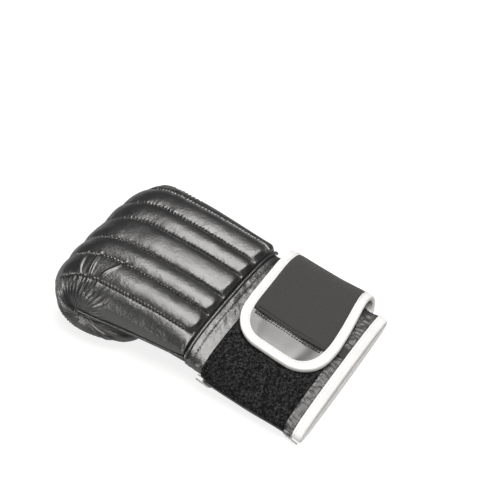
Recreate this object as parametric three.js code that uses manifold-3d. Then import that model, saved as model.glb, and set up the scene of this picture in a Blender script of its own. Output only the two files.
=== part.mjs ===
// Left-hand bag glove lying palm down, with a padded, ribbed back that curls into a fist.
// Millimetres. The seam between pad and cuff is at y = 0, the fingers point to +Y, the thumb is on +X, +Z is up.
import * as THREE from 'three';
import { mergeVertices } from 'three/addons/utils/BufferGeometryUtils.js';
import Module from 'manifold-3d';

const wasm = await Module();
wasm.setup();

// Hand part
const HAND_LENGTH = 140;
const FIST_HEIGHT = 69;
const FIST_WIDTH = 158;
const WRIST_HEIGHT = 47;
const WRIST_WIDTH = 142;
const CURL_EDGE_Y = 48;
const SEAM_Z_WRIST = 28;
const SEAM_Z_FIST = 33;
const HINGE_FROM_FRONT = 39;
const FOLD_RADIUS = 1.7;
const SLIT_MOUTH = 5;
const FLATTENED = 1.5;

// Padding and leather
const FOAM_BACK = 15;
const FOAM_FRONT = 11;
const FOAM_UNDER = 8;
const SIDE_WALL = 6;
const RIB_RISE = 2.6;
const GATHER_DEPTH = 1.3;
const GATHER_COUNT = 6;
const LEATHER = 2;
const GAP = 0.3;

// Palm
const BELLY_DEPTH = 21;
const BELLY_LENGTH = 46;
const THUMB_LENGTH = 44;
const THUMB_WIDTH = 30;
const THUMB_THICKNESS = 21;
const THUMB_INSET = 17;
const GRIP_DIAMETER = 12;
const GRIP_LENGTH = 92;
const EYELET_DIAMETER = 7;
const EYELET_HOLE = 3.4;
const EYELET_SPACING = 13;

// Cuff
const CUFF_LENGTH = 113;
const CUFF_WIDTH = 145;
const CUFF_TOP_WRIST = 43;
const CUFF_TOP_END = 15;
const BINDING_WIDTH = 8;
const BINDING_WALL = 1;
const PIPING_DIAMETER = 3;
const TAB_WIDTH = 9;
const TAB_LENGTH = 8;
const TAB_THICKNESS = 1;

// Wrist strap and its fastening
const STRAP_WIDTH = 84;
const STRAP_THICKNESS = 2;
const STRAP_FROM_SEAM = 16;
const STRAP_STANDOFF = 12;
const STRAP_SKEW = 4.5;
const STRAP_CORNER = 27;
const ELASTIC_WIDTH = 68;
const ELASTIC_THICKNESS = 1.2;
const LOOP_WIDTH = 80;
const LOOP_THICKNESS = 2;

// Each row is a place along the pad: 0 at the cuff seam, 1 over the hinge, 2 under it, 3 at the curled edge.
// width and middle are shares of half the fist's width, square is the section's exponent.
const PAD_SECTIONS = [
  { place: 0, width: WRIST_WIDTH / FIST_WIDTH, middle: 0.02, square: 2.5 },
  { place: 0.45, width: 0.93, middle: 0.005, square: 2.6 },
  { place: 0.9, width: 0.965, middle: -0.02, square: 2.8 },
  { place: 1.5, width: 0.975, middle: -0.035, square: 3.1 },
  { place: 2, width: 1, middle: -0.05, square: 2.8 },
  { place: 2.6, width: 0.98, middle: -0.045, square: 2.6 },
  { place: 3, width: 0.86, middle: -0.01, square: 2.6 },
];

// Stitched seams of the back, from the thumb side: shares of the section's half width at the wrist and on the fist.
const RIB_SEAMS = [
  { wrist: 0.8, fist: 0.8 },
  { wrist: 0.545, fist: 0.49 },
  { wrist: 0.27, fist: 0.19 },
  { wrist: -0.1, fist: -0.18 },
  { wrist: -0.43, fist: -0.46 },
  { wrist: -0.73, fist: -0.74 },
];

// The share of the cuff that its binding leaves bare.
const CUFF_BOUND = 1 - (BINDING_WIDTH - BINDING_WALL - GAP) / CUFF_LENGTH;

// Each row is a place along the cuff, from the seam to the open end; heights are shares of the cuff's top at the seam.
const CUFF_SECTIONS = [
  { along: 0, side: 0.64, top: 1, bottom: 0.14, width: 0.965 },
  { along: 0.13, side: 0.56, top: 0.86, bottom: 0.13, width: 0.968 },
  { along: 0.53, side: 0.38, top: 0.6, bottom: 0.13, width: 0.98 },
  { along: CUFF_BOUND, side: 0.24, top: 0.42, bottom: 0.12, width: 0.998 },
  { along: 1, side: 0.19, top: CUFF_TOP_END / CUFF_TOP_WRIST, bottom: 0.05, width: 1 },
];

const FIST_RADIUS = FIST_HEIGHT / 2;
const FIST_Y = HAND_LENGTH - FIST_RADIUS;
const HINGE = { y: HAND_LENGTH - HINGE_FROM_FRONT, z: SEAM_Z_FIST - FOLD_RADIUS };
const WIDEST = 0.3;
const PAD_EASE = 0.5;
const CUFF_SIDES = 34;
const NORMAL_SPAN = 0.2;

const lerp = THREE.MathUtils.lerp;
const clamp = THREE.MathUtils.clamp;
const smooth = (t) => THREE.MathUtils.smoothstep(t, 0, 1);
const signedPower = (value, power) => Math.sign(value) * Math.abs(value) ** power;

// A value of a table's column at a place between two of its rows: along a line, or eased into each row.
function column(table, key, at, name, ease = 0) {
  let i = 0;
  while (i < table.length - 2 && at > table[i + 1][key]) i += 1;
  const t = clamp((at - table[i][key]) / (table[i + 1][key] - table[i][key]), 0, 1);
  return lerp(table[i][name], table[i + 1][name], lerp(t, smooth(t), ease));
}

// Rings of points joined into one closed skin: capped at both ends, or joined end to end.
function skin(rings, closed = false) {
  const size = rings[0].length;
  const points = rings.flat();
  const index = [];
  const spans = closed ? rings.length : rings.length - 1;
  for (let i = 0; i < spans; i += 1) {
    const a = i * size;
    const b = ((i + 1) % rings.length) * size;
    for (let j = 0; j < size; j += 1) {
      const k = (j + 1) % size;
      index.push(a + j, b + j, b + k, a + j, b + k, a + k);
    }
  }
  if (!closed) {
    capRing(size, 0, index, false);
    capRing(size, (rings.length - 1) * size, index, true);
  }
  return outward(points, index);
}

// A ring is capped by strips between its first half and its second, so every ring starts where the two meet.
function capRing(size, offset, index, flip) {
  for (let i = 0; i + 1 < size - 1 - i; i += 1) {
    const [a, b, c, d] = [i, i + 1, size - 2 - i, size - 1 - i].map((k) => offset + k);
    const faces = b === c ? [[a, b, d]] : [[a, b, c], [a, c, d]];
    for (const [p, q, r] of faces) index.push(...(flip ? [p, r, q] : [p, q, r]));
  }
}

// A geometry whose faces point out, whichever way round its rings were made.
function outward(points, index) {
  let volume = 0;
  for (let i = 0; i < index.length; i += 3) {
    const [a, b, c] = [points[index[i]], points[index[i + 1]], points[index[i + 2]]];
    volume += a.dot(b.clone().cross(c));
  }
  if (volume < 0) {
    for (let i = 0; i < index.length; i += 3) {
      [index[i + 1], index[i + 2]] = [index[i + 2], index[i + 1]];
    }
  }
  const geometry = new THREE.BufferGeometry().setFromPoints(points);
  geometry.setIndex(index);
  return mergeVertices(geometry, 1e-4);
}

function solid(geometry) {
  const merged = geometry.clone();
  merged.deleteAttribute('normal');
  merged.deleteAttribute('uv');
  const shape = mergeVertices(merged, 1e-4);
  return new wasm.Manifold(new wasm.Mesh({
    numProp: 3,
    vertProperties: new Float32Array(shape.attributes.position.array),
    triVerts: new Uint32Array(shape.index.array),
  }));
}

function geometryOf(body) {
  const mesh = body.getMesh();
  const geometry = new THREE.BufferGeometry();
  geometry.setAttribute('position', new THREE.BufferAttribute(mesh.vertProperties, 3));
  geometry.setIndex(new THREE.BufferAttribute(mesh.triVerts, 1));
  return geometry;
}

// Level of the side seams over the hand, where the palm leather meets the pad.
function seamLevel(y) {
  return lerp(SEAM_Z_WRIST, SEAM_Z_FIST, clamp(y / HINGE.y, 0, 1));
}

function underLevel(y) {
  const t = clamp((HINGE.y - y) / (HINGE.y - CURL_EDGE_Y), 0, 1);
  return lerp(HINGE.z - FOLD_RADIUS, seamLevel(CURL_EDGE_Y) - SLIT_MOUTH, t);
}

// Height of the pad's outer face over the back of the hand.
function backHeight(y) {
  const u = clamp(y / FIST_Y, 0, 1);
  return lerp(WRIST_HEIGHT, FIST_HEIGHT, 1 - (1 - u) ** 1.45);
}

// Height of the curled part's underside: pressed flat on the ground, rounded up to the curled edge.
function underHeight(y) {
  const reach = 14;
  const d = clamp((y - CURL_EDGE_Y) / reach, 0, 1);
  return lerp(-FLATTENED, underLevel(CURL_EDGE_Y) - LEATHER, 1 - Math.sqrt(1 - (1 - d) ** 2));
}

// A place along the pad as a point of the palm line, offset outwards, and the point of the outer profile over it.
function padStation(place, offset) {
  if (place <= 1) {
    const y = HINGE.y * place;
    return { base: [y, seamLevel(y) + offset], tip: [y, backHeight(y)], place };
  }
  if (place < 2) {
    const angle = Math.PI * (1.5 - place);
    const way = [Math.cos(angle), Math.sin(angle)];
    const base = [HINGE.y + (FOLD_RADIUS + offset) * way[0], HINGE.z + (FOLD_RADIUS + offset) * way[1]];
    const from = [HINGE.y - FIST_Y, HINGE.z - FIST_RADIUS];
    const along = from[0] * way[0] + from[1] * way[1];
    const reach = Math.sqrt(along ** 2 - from[0] ** 2 - from[1] ** 2 + FIST_RADIUS ** 2) - along;
    return { base, tip: [HINGE.y + reach * way[0], HINGE.z + reach * way[1]], place };
  }
  const y = lerp(HINGE.y, CURL_EDGE_Y, place - 2);
  return { base: [y, underLevel(y) - offset], tip: [y, underHeight(y)], place };
}

// Points across the pad at a station, from the little finger's seam over the outside to the thumb's seam.
function padRing(station, shares, { inset = 0, foam = 0, relief = () => 0 }) {
  const half = column(PAD_SECTIONS, 'place', station.place, 'width', PAD_EASE) * FIST_WIDTH / 2 - inset;
  const middle = column(PAD_SECTIONS, 'place', station.place, 'middle', PAD_EASE) * FIST_WIDTH / 2;
  const power = 2 / column(PAD_SECTIONS, 'place', station.place, 'square', PAD_EASE);
  const dip = Math.asin((WIDEST / (1 - WIDEST)) ** (1 / power));
  const base = new THREE.Vector3(0, ...station.base);
  const way = new THREE.Vector3(0, ...station.tip).sub(base);
  const height = way.length() - foam;
  way.normalize();
  return shares.map((share) => {
    const angle = lerp(-dip, Math.PI + dip, share);
    const side = -signedPower(Math.cos(angle), power);
    const rise = WIDEST + (1 - WIDEST) * signedPower(Math.sin(angle), power);
    const out = 1 + relief(side, rise, station) / (half * Math.abs(side) + height * Math.abs(rise - WIDEST));
    const up = WIDEST + (rise - WIDEST) * out;
    return base.clone().addScaledVector(way, height * up).setX(middle + half * side * out);
  });
}

// Relief of the quilting: a rib swells between two seams, from the cuff seam until it fades round the fist.
function ribRelief(side, place) {
  const t = clamp(place / 0.9, 0, 1);
  const seams = RIB_SEAMS.map((seam) => lerp(seam.wrist, seam.fist, t));
  const fade = smooth(clamp(place / 0.12, 0, 1)) * (1 - smooth(clamp((place - 1.45) / 0.3, 0, 1)));
  for (let i = 0; i < seams.length - 1; i += 1) {
    if (side <= seams[i] && side >= seams[i + 1]) {
      const u = (seams[i] - side) / (seams[i] - seams[i + 1]);
      return RIB_RISE * fade * Math.sin(Math.PI * u) ** 0.7;
    }
  }
  return 0;
}

// Gathers that fan out from the hinge on both sides of the fist, deepest near the seam.
function gatherRelief(rise, place) {
  if (place < 0.8 || place > 2.2) return 0;
  const near = (1 - smooth(clamp(rise / 0.75, 0, 1))) * smooth(clamp(rise / 0.08, 0, 1));
  return GATHER_DEPTH * near * Math.cos(2 * Math.PI * GATHER_COUNT * (place - 1));
}

// Shares across the section that hit the seams and three points of each rib between them.
function padShares() {
  const sides = 6;
  const shares = [];
  const power = 2 / 2.7;
  const dip = Math.asin((WIDEST / (1 - WIDEST)) ** (1 / power));
  const shareOf = (side) => (Math.acos(-signedPower(side, 1 / power)) + dip) / (Math.PI + 2 * dip);
  const seams = RIB_SEAMS.map((seam) => shareOf((seam.wrist + seam.fist) / 2)).reverse();
  for (let i = 0; i < sides; i += 1) shares.push(seams[0] * i / sides);
  for (let i = 0; i < seams.length - 1; i += 1) {
    for (const u of [0, 0.2, 0.5, 0.8]) shares.push(lerp(seams[i], seams[i + 1], u));
  }
  for (let i = 0; i <= sides; i += 1) shares.push(lerp(seams[seams.length - 1], 1, i / sides));
  return shares;
}

function backPad() {
  const offset = LEATHER / 2 + GAP;
  const shares = padShares();
  const relief = (side, rise, station) => ribRelief(side, station.place) + gatherRelief(rise, station.place);
  const places = [
    ...Array.from({ length: 10 }, (_, i) => 0.97 * (i / 9) ** 1.15),
    ...Array.from({ length: 19 }, (_, i) => 1 + i / 18),
    ...Array.from({ length: 8 }, (_, i) => 2.12 + 0.87 * Math.sin(Math.PI / 2 * i / 7)),
  ];
  const outer = places.map((place) => padRing(padStation(place, offset), shares, { relief }));
  outer.forEach((ring) => ring.forEach((p) => { p.z = Math.max(p.z, 0); }));
  const hollowPlaces = [
    ...Array.from({ length: 6 }, (_, i) => 0.98 * i / 5),
    ...Array.from({ length: 13 }, (_, i) => 1 + i / 12),
    ...Array.from({ length: 4 }, (_, i) => 2.15 + 0.6 * i / 3),
  ];
  const hollowShares = Array.from({ length: 15 }, (_, i) => i / 14);
  const hollow = hollowPlaces.map((place) => {
    const foam = place < 1.5
      ? lerp(FOAM_BACK, FOAM_FRONT, smooth(clamp((place - 0.8) / 0.6, 0, 1)))
      : lerp(FOAM_FRONT, FOAM_UNDER, smooth(clamp((place - 1.5) / 0.5, 0, 1)));
    return padRing(padStation(place, 0), hollowShares, { inset: SIDE_WALL, foam });
  });
  hollow.unshift(hollow[0].map((p) => p.clone().setY(-CUFF_LENGTH * 0.02)));
  return geometryOf(solid(skin(outer)).subtract(solid(skin(hollow))));
}

// Half width and middle of the leather at the side seams, at a place along the pad.
function seamEdges(place) {
  const ring = padRing(padStation(place, 0), [0, 1], {});
  return { left: ring[0].x, right: ring[1].x };
}

// How far the palm leather hangs below the seams: deep at the wrist, and it ends sooner beside the thumb.
function belly(x, y) {
  const half = WRIST_WIDTH / 2;
  const thumbSide = smooth(clamp((x / half - 0.35) / 0.3, 0, 1));
  const reach = lerp(BELLY_LENGTH, BELLY_LENGTH * 0.42, thumbSide);
  return BELLY_DEPTH * (1 - smooth(clamp(y / reach, 0, 1))) * (1 - clamp(Math.abs(x / half), 0, 1) ** 4);
}

// The palm line with its normal, from the cuff seam round the fold to the curled edge.
function palmPoint(place, offset, x) {
  const { base } = padStation(place, offset);
  return new THREE.Vector3(x, base[0], base[1] - (place <= 1 ? belly(x, base[0]) : 0));
}

function palmRings(low, high, places) {
  const across = 12;
  return places.map((place) => {
    const { left, right } = seamEdges(place);
    const at = (i, offset) => palmPoint(place, offset, lerp(left, right, i / across));
    const top = Array.from({ length: across + 1 }, (_, i) => at(i, high));
    const under = Array.from({ length: across + 1 }, (_, i) => at(across - i, low));
    return [...top, ...under];
  });
}

function palmPlaces() {
  return [
    ...Array.from({ length: 8 }, (_, i) => (GAP / 2 + BELLY_LENGTH * i / 7) / HINGE.y),
    ...Array.from({ length: 3 }, (_, i) => lerp(BELLY_LENGTH / HINGE.y, 1, (i + 1) / 3)),
    ...Array.from({ length: 7 }, (_, i) => 1 + (i + 1) / 8),
    ...Array.from({ length: 3 }, (_, i) => 2 + 0.96 * i / 2),
  ];
}

const THUMB_X = WRIST_WIDTH / 2 - THUMB_INSET;

// A thumb sheath: flattened tube from the heel of the palm to the curled edge, closed and rounded at its tip.
function thumbTube(inset, from, to) {
  const steps = 12;
  const middleZ = GAP + THUMB_THICKNESS / 2 + 1.5;
  const rings = [];
  for (let i = 0; i <= steps; i += 1) {
    const t = i / steps;
    const y = lerp(from, to, Math.sin(Math.PI / 2 * t));
    const round = Math.sqrt(Math.max(0.02, 1 - clamp((y - (to - 12)) / 12, 0, 1) ** 2));
    const ring = [];
    for (let j = 0; j < 18; j += 1) {
      const angle = 2 * Math.PI * j / 18;
      const width = (THUMB_WIDTH / 2 - inset) * (0.55 + 0.45 * round);
      const height = (THUMB_THICKNESS / 2 - inset) * (0.35 + 0.65 * round);
      const x = THUMB_X + width * signedPower(Math.cos(angle), 0.85);
      ring.push(new THREE.Vector3(x, y, middleZ + height * signedPower(Math.sin(angle), 0.85)));
    }
    rings.push(ring);
  }
  return skin(rings);
}

const THUMB_TIP_Y = CURL_EDGE_Y - GAP * 2;
const THUMB_ROOT_Y = THUMB_TIP_Y - THUMB_LENGTH;

function thumb() {
  const outer = solid(thumbTube(0, THUMB_ROOT_Y, THUMB_TIP_Y));
  const inner = solid(thumbTube(LEATHER, THUMB_ROOT_Y - 5, THUMB_TIP_Y - LEATHER));
  const places = palmPlaces().filter((place) => place <= 1);
  places.unshift(-0.1);
  const hand = solid(skin(palmRings(-LEATHER / 2 - GAP, FIST_HEIGHT, places)));
  return geometryOf(outer.subtract(inner).subtract(hand));
}

function palmPanel() {
  const sheet = solid(skin(palmRings(-LEATHER / 2, LEATHER / 2, palmPlaces())));
  const mouth = solid(thumbTube(LEATHER + 1, THUMB_ROOT_Y - 5, THUMB_TIP_Y - LEATHER - 1));
  return geometryOf(eyeletPlaces().reduce((body, place) => body.subtract(eyeletDrill(place)), sheet.subtract(mouth)));
}

// Vent eyelets in a quincunx on the palm, towards the thumb.
function eyeletPlaces() {
  const centre = new THREE.Vector2(WRIST_WIDTH * 0.06, BELLY_LENGTH * 0.42);
  const corners = [[0, 0], [-1, -1], [1, -1], [-1, 1], [1, 1]];
  return corners.map(([x, y]) => {
    const p = new THREE.Vector2(x, y).multiplyScalar(EYELET_SPACING / 2).add(centre);
    const z = (px, py) => palmPoint(py / HINGE.y, 0, px).z;
    const slope = new THREE.Vector3(z(p.x - 1, p.y) - z(p.x + 1, p.y), z(p.x, p.y - 1) - z(p.x, p.y + 1), 2);
    return { centre: new THREE.Vector3(p.x, p.y, z(p.x, p.y)), normal: slope.normalize() };
  });
}

function placed(geometry, { centre, normal }) {
  const turn = new THREE.Quaternion().setFromUnitVectors(new THREE.Vector3(0, 1, 0), normal);
  return geometry.applyQuaternion(turn).translate(centre.x, centre.y, centre.z);
}

function eyeletDrill(place) {
  return solid(placed(new THREE.CylinderGeometry(EYELET_HOLE / 2 + 0.9, EYELET_HOLE / 2 + 0.9, 12, 12), place));
}

// A rivet eyelet: a flange on the palm side and a barrel through the leather, round a bore.
function eyelet(place) {
  const bore = EYELET_HOLE / 2;
  const barrel = bore + 0.6;
  const flange = EYELET_DIAMETER / 2;
  const face = -LEATHER / 2 - 0.5;
  const profile = [
    [bore, LEATHER / 2], [bore, face - 0.9], [flange, face - 0.9], [flange, face],
    [barrel, face], [barrel, LEATHER / 2], [bore, LEATHER / 2],
  ].map(([x, y]) => new THREE.Vector2(x, y));
  return placed(new THREE.LatheGeometry(profile, 12), place);
}

// A padded bar sewn across the palm just inside the curled edge.
function gripBar() {
  const radius = GRIP_DIAMETER / 2;
  const y = CURL_EDGE_Y - radius - 2.5;
  const left = -GRIP_LENGTH / 2 - WRIST_WIDTH * 0.07;
  const rings = [];
  const steps = 14;
  for (let i = 0; i <= steps; i += 1) {
    const t = -Math.cos(Math.PI * i / steps);
    const x = left + GRIP_LENGTH * (0.5 + 0.5 * t);
    const size = radius * Math.max(0.25, Math.sqrt(1 - t ** 6));
    const z = palmPoint(y / HINGE.y, 0, clamp(x, left, left + GRIP_LENGTH)).z - LEATHER / 2 - GAP - radius;
    rings.push(Array.from({ length: 14 }, (_, j) => {
      const angle = 2 * Math.PI * j / 14;
      return new THREE.Vector3(x, y + size * Math.cos(angle), z + size * Math.sin(angle));
    }));
  }
  const lowered = palmRings(-LEATHER / 2 - GAP, FIST_HEIGHT, palmPlaces().filter((place) => place <= 1));
  return geometryOf(solid(skin(rings)).subtract(solid(skin(lowered))));
}

// The cuff's section: a flattened tube whose sides carry on the pad's side seams.
// Angle 0 is the thumb side, PI / 2 the top. A negative offset is a wall's inside.
function cuffPoint(angle, y, offset = 0) {
  const along = clamp(-y / CUFF_LENGTH, 0, 1);
  const level = (name) => column(CUFF_SECTIONS, 'along', along, name) * CUFF_TOP_WRIST;
  const side = level('side');
  const half = column(CUFF_SECTIONS, 'along', along, 'width') * CUFF_WIDTH / 2;
  const inset = Math.min(offset, 0);
  const rise = (Math.sin(angle) > 0 ? level('top') - side : side - level('bottom')) + inset;
  const power = 2 / 2.6;
  const at = (a) => new THREE.Vector3(
    (half + inset) * signedPower(Math.cos(a), power) + FIST_WIDTH * 0.01 * (1 - along),
    y,
    side + rise * signedPower(Math.sin(a), power),
  );
  const tangent = at(angle + NORMAL_SPAN).sub(at(angle - NORMAL_SPAN));
  const normal = new THREE.Vector3(tangent.z, 0, -tangent.x).normalize();
  return at(angle).addScaledVector(normal, Math.max(offset, 0));
}

// The cuff's rings: one at each row of its table.
function cuffStops() {
  return CUFF_SECTIONS.map((row) => -row.along * CUFF_LENGTH);
}

// A closed plug of the cuff's shape; each stop is a place along it, or a place with an offset of its own.
function cuffTube(offset, stops) {
  const rings = stops.map((stop) => [stop].flat()).map(([y, own = offset]) => {
    return Array.from({ length: CUFF_SIDES }, (_, j) => cuffPoint(2 * Math.PI * (j + 0.5) / CUFF_SIDES, y, own));
  });
  return solid(skin(rings));
}

function cuff() {
  const stops = cuffStops();
  stops[0] = -GAP;
  return geometryOf(cuffTube(0, stops).subtract(cuffTube(-LEATHER, [1, ...stops, -CUFF_LENGTH - 1])));
}

// A round piping over the back, in the corner between the pad's end and the cuff.
function wristPiping() {
  const radius = PIPING_DIAMETER / 2;
  const rings = [];
  const steps = 30;
  for (let i = 0; i <= steps; i += 1) {
    const angle = lerp(0.06, 0.94, i / steps) * Math.PI;
    const centre = cuffPoint(angle, -GAP - radius - GAP, radius + GAP);
    const out = centre.clone().sub(cuffPoint(angle, centre.y, 0)).normalize();
    rings.push(Array.from({ length: 8 }, (_, j) => {
      const turn = 2 * Math.PI * j / 8;
      return centre.clone().addScaledVector(out, radius * Math.cos(turn)).setY(centre.y + radius * Math.sin(turn));
    }));
  }
  return skin(rings);
}

// The cuff's binding: a U that wraps the open end, with a slot for the leather.
function cuffBinding() {
  const wrap = GAP + BINDING_WALL;
  const end = -CUFF_LENGTH - wrap;
  const edge = end + BINDING_WIDTH;
  const round = BINDING_WALL * 0.6;
  const outer = cuffTube(wrap, [edge, -CUFF_LENGTH, end + round, [end, wrap - round]]);
  const bore = cuffTube(-LEATHER - wrap, [edge + 1, edge, -CUFF_LENGTH, end - 1]);
  const leather = cuffTube(GAP, [edge + 1, edge, -CUFF_LENGTH, -CUFF_LENGTH - GAP]);
  const core = cuffTube(-LEATHER - GAP, [edge + 2, edge, -CUFF_LENGTH, end - 2]);
  return geometryOf(outer.subtract(bore).subtract(leather.subtract(core)));
}

// The strap's middle surface. Along runs from 0 at its sewn end by the little finger, under the palm, round the
// thumb side and over the back to 1 at the tab.
const STRAP_START = 0.955 * Math.PI;
const STRAP_TAB = 2.62 * Math.PI;
const ELASTIC_FROM = 1.95 * Math.PI;
const ELASTIC_TO = 2.478 * Math.PI;
const STRAP_MIDDLE_Y = -STRAP_FROM_SEAM - STRAP_WIDTH / 2;
const STRAP_SEAT = GAP * 3 + BINDING_WALL + STRAP_THICKNESS / 2;

// How far the strap stands off the cuff where it bends round the thumb side: 0 to 1.
function strapBend(angle) {
  const turns = angle / Math.PI;
  return smooth(clamp((turns - 1.84) / 0.24, 0, 1)) * (1 - smooth(clamp((turns - 2.12) / 0.3, 0, 1)));
}

function strapPoint(along, y, offset = 0) {
  const angle = lerp(STRAP_START, STRAP_TAB, along);
  const bend = strapBend(angle);
  const overLoop = smooth(clamp((angle / Math.PI - 2.08) / 0.22, 0, 1)) * (LOOP_THICKNESS + GAP);
  const lift = STRAP_SEAT + STRAP_STANDOFF * bend + overLoop + offset;
  const slant = STRAP_SKEW * (1 - smooth(clamp(along * 2, 0, 1)));
  const drawn = STRAP_MIDDLE_Y + (y - STRAP_MIDDLE_Y) * (1 - 0.07 * bend) + STRAP_WIDTH * 0.035 * bend;
  return cuffPoint(angle, drawn - slant, lift);
}

// Half the strap's width at a point along it: full, then drawn in round the tab's corners.
function strapHalf(along) {
  const length = 1 - along;
  const corner = 0.085;
  const t = clamp(1 - length / corner, 0, 1);
  return STRAP_WIDTH / 2 - STRAP_CORNER * (1 - Math.sqrt(Math.max(0, 1 - t ** 2)));
}

function strapStops() {
  return [
    ...Array.from({ length: 27 }, (_, i) => 0.9 * i / 26),
    ...Array.from({ length: 6 }, (_, i) => 0.915 + 0.085 * Math.sin(Math.PI / 2 * (i + 0.5) / 5.5)),
  ];
}

function bandRings(stops, half, low, high, across) {
  return stops.map((along) => {
    const at = (share, offset) => strapPoint(along, STRAP_MIDDLE_Y + half(along) * share, offset);
    const outer = Array.from({ length: across + 1 }, (_, i) => at(2 * i / across - 1, high));
    const inner = Array.from({ length: across + 1 }, (_, i) => at(1 - 2 * i / across, low));
    return [...outer, ...inner];
  });
}

// Millimetres of strap in one whole step of along, at its tab.
const TAB_STRETCH = strapPoint(0.99, STRAP_MIDDLE_Y).distanceTo(strapPoint(1, STRAP_MIDDLE_Y)) * 100;

// The strap, or with room to spare all round the slot that it takes in its binding.
function strap(spare = 0) {
  const grow = 1 + spare / TAB_STRETCH;
  const half = (along) => strapHalf(along / grow) + spare;
  const reach = STRAP_THICKNESS / 2 + spare;
  return skin(bandRings(strapStops().map((along) => along * grow), half, -reach, reach, 4));
}

// The strap's binding: a bar along its edge from the sewn end round the tab and back, slotted for the strap.
function strapBinding() {
  const out = STRAP_THICKNESS / 2 + GAP + BINDING_WALL;
  const lip = -GAP - BINDING_WALL;
  const round = BINDING_WALL * 0.6;
  const end = BINDING_WIDTH + lip;
  const profile = [
    [lip, out - round], [lip + round, out], [end / 2, out], [end, out],
    [end, -out], [end / 2, -out], [lip + round, -out], [lip, -out + round],
  ];
  const stops = strapStops();
  stops[0] = 1.5 / TAB_STRETCH;
  const tab = strapHalf(1);
  const route = [
    ...stops.map((along) => [along, -strapHalf(along)]),
    ...[-0.5, 0, 0.5].map((share) => [1, tab * share]),
    ...stops.map((along) => [along, strapHalf(along)]).reverse(),
  ];
  const rings = route.map(([along, y], i) => {
    const [before, after] = [route[Math.max(i - 1, 0)], route[Math.min(i + 1, route.length - 1)]];
    const inward = new THREE.Vector2(before[1] - after[1], (after[0] - before[0]) * TAB_STRETCH).normalize();
    return profile.map(([across, offset]) => {
      return strapPoint(along + inward.x * across / TAB_STRETCH, STRAP_MIDDLE_Y + y + inward.y * across, offset);
    });
  });
  return geometryOf(solid(skin(rings)).subtract(solid(strap(GAP))));
}

function elasticBand() {
  const alongAt = (angle) => (angle - STRAP_START) / (STRAP_TAB - STRAP_START);
  const [from, to] = [alongAt(ELASTIC_FROM), alongAt(ELASTIC_TO)];
  const stops = [from, ...strapStops().filter((along) => along > from + 0.003 && along < to - 0.003), to];
  const low = STRAP_THICKNESS / 2 + GAP;
  return skin(bandRings(stops, () => ELASTIC_WIDTH / 2 - GAP, low, low + ELASTIC_THICKNESS, 3));
}

function loopPanel() {
  const edges = [STRAP_MIDDLE_Y - LOOP_WIDTH / 2, STRAP_MIDDLE_Y + LOOP_WIDTH / 2];
  const inside = cuffStops().filter((y) => y > edges[0] + 1 && y < edges[1] - 1).reverse();
  const stops = [edges[0], ...inside, edges[1]];
  const rings = [];
  for (let i = 0; i <= 18; i += 1) {
    const angle = lerp(0.925, 0.32, i / 18) * Math.PI;
    const outer = stops.map((y) => cuffPoint(angle, y, GAP + LOOP_THICKNESS));
    const inner = stops.map((y) => cuffPoint(angle, y, GAP)).reverse();
    rings.push([...outer, ...inner]);
  }
  return skin(rings);
}

function sizeTab() {
  const angle = 0.46 * Math.PI;
  const from = -CUFF_LENGTH + BINDING_WIDTH - GAP - BINDING_WALL + GAP;
  const rings = [0, 0.5, 1].map((share) => {
    const y = from + TAB_LENGTH * share;
    const point = (side, offset) => cuffPoint(angle + side * TAB_WIDTH / CUFF_WIDTH, y, offset);
    return [point(-1, GAP), point(0, GAP), point(1, GAP), point(1, GAP + TAB_THICKNESS),
      point(0, GAP + TAB_THICKNESS), point(-1, GAP + TAB_THICKNESS)];
  });
  return skin(rings);
}

const BLACK_LEATHER = { color: 0x17171a, roughness: 0.38, metalness: 0 };
const GREY_PU = { color: 0x3b3b3d, roughness: 0.45, metalness: 0 };
const WHITE_BINDING = { color: 0xe9e9e6, roughness: 0.6, metalness: 0 };
const WEB = { color: 0x343334, roughness: 0.85, metalness: 0 };
const LOOP_PILE = { color: 0x161617, roughness: 0.95, metalness: 0 };
const NICKEL = { color: 0xb4b4b4, roughness: 0.3, metalness: 1 };

const glove = new THREE.Group();

function piece(name, geometry, look) {
  const mesh = new THREE.Mesh(geometry, new THREE.MeshStandardMaterial(look));
  mesh.name = name;
  glove.add(mesh);
}

piece('back_pad', backPad(), BLACK_LEATHER);
piece('palm_panel', palmPanel(), BLACK_LEATHER);
piece('thumb', thumb(), BLACK_LEATHER);
piece('grip_bar', gripBar(), BLACK_LEATHER);
piece('wrist_piping', wristPiping(), BLACK_LEATHER);
piece('cuff', cuff(), BLACK_LEATHER);
piece('cuff_binding', cuffBinding(), WHITE_BINDING);
piece('loop_panel', loopPanel(), LOOP_PILE);
piece('strap', strap(), GREY_PU);
piece('strap_binding', strapBinding(), WHITE_BINDING);
piece('elastic_band', elasticBand(), WEB);
piece('size_tab', sizeTab(), WEB);
eyeletPlaces().forEach((place, i) => piece(`eyelet_${i + 1}`, eyelet(place), NICKEL));

// The origin is under the middle of the glove, on the surface it lies on.
const box = new THREE.Box3().setFromObject(glove);
const middle = box.getCenter(new THREE.Vector3());
glove.position.set(-middle.x, -middle.y, -box.min.z);

export default glove;
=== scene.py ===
"""A left-hand bag glove lying palm down: the finish of every piece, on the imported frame.

Lengths in the surface functions are millimetres in the maker's frame: y is 0 at the seam between pad and
cuff, the fingers point to +Y, the thumb is on +X, and z is 0 on the floor.
"""
from types import SimpleNamespace

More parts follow.
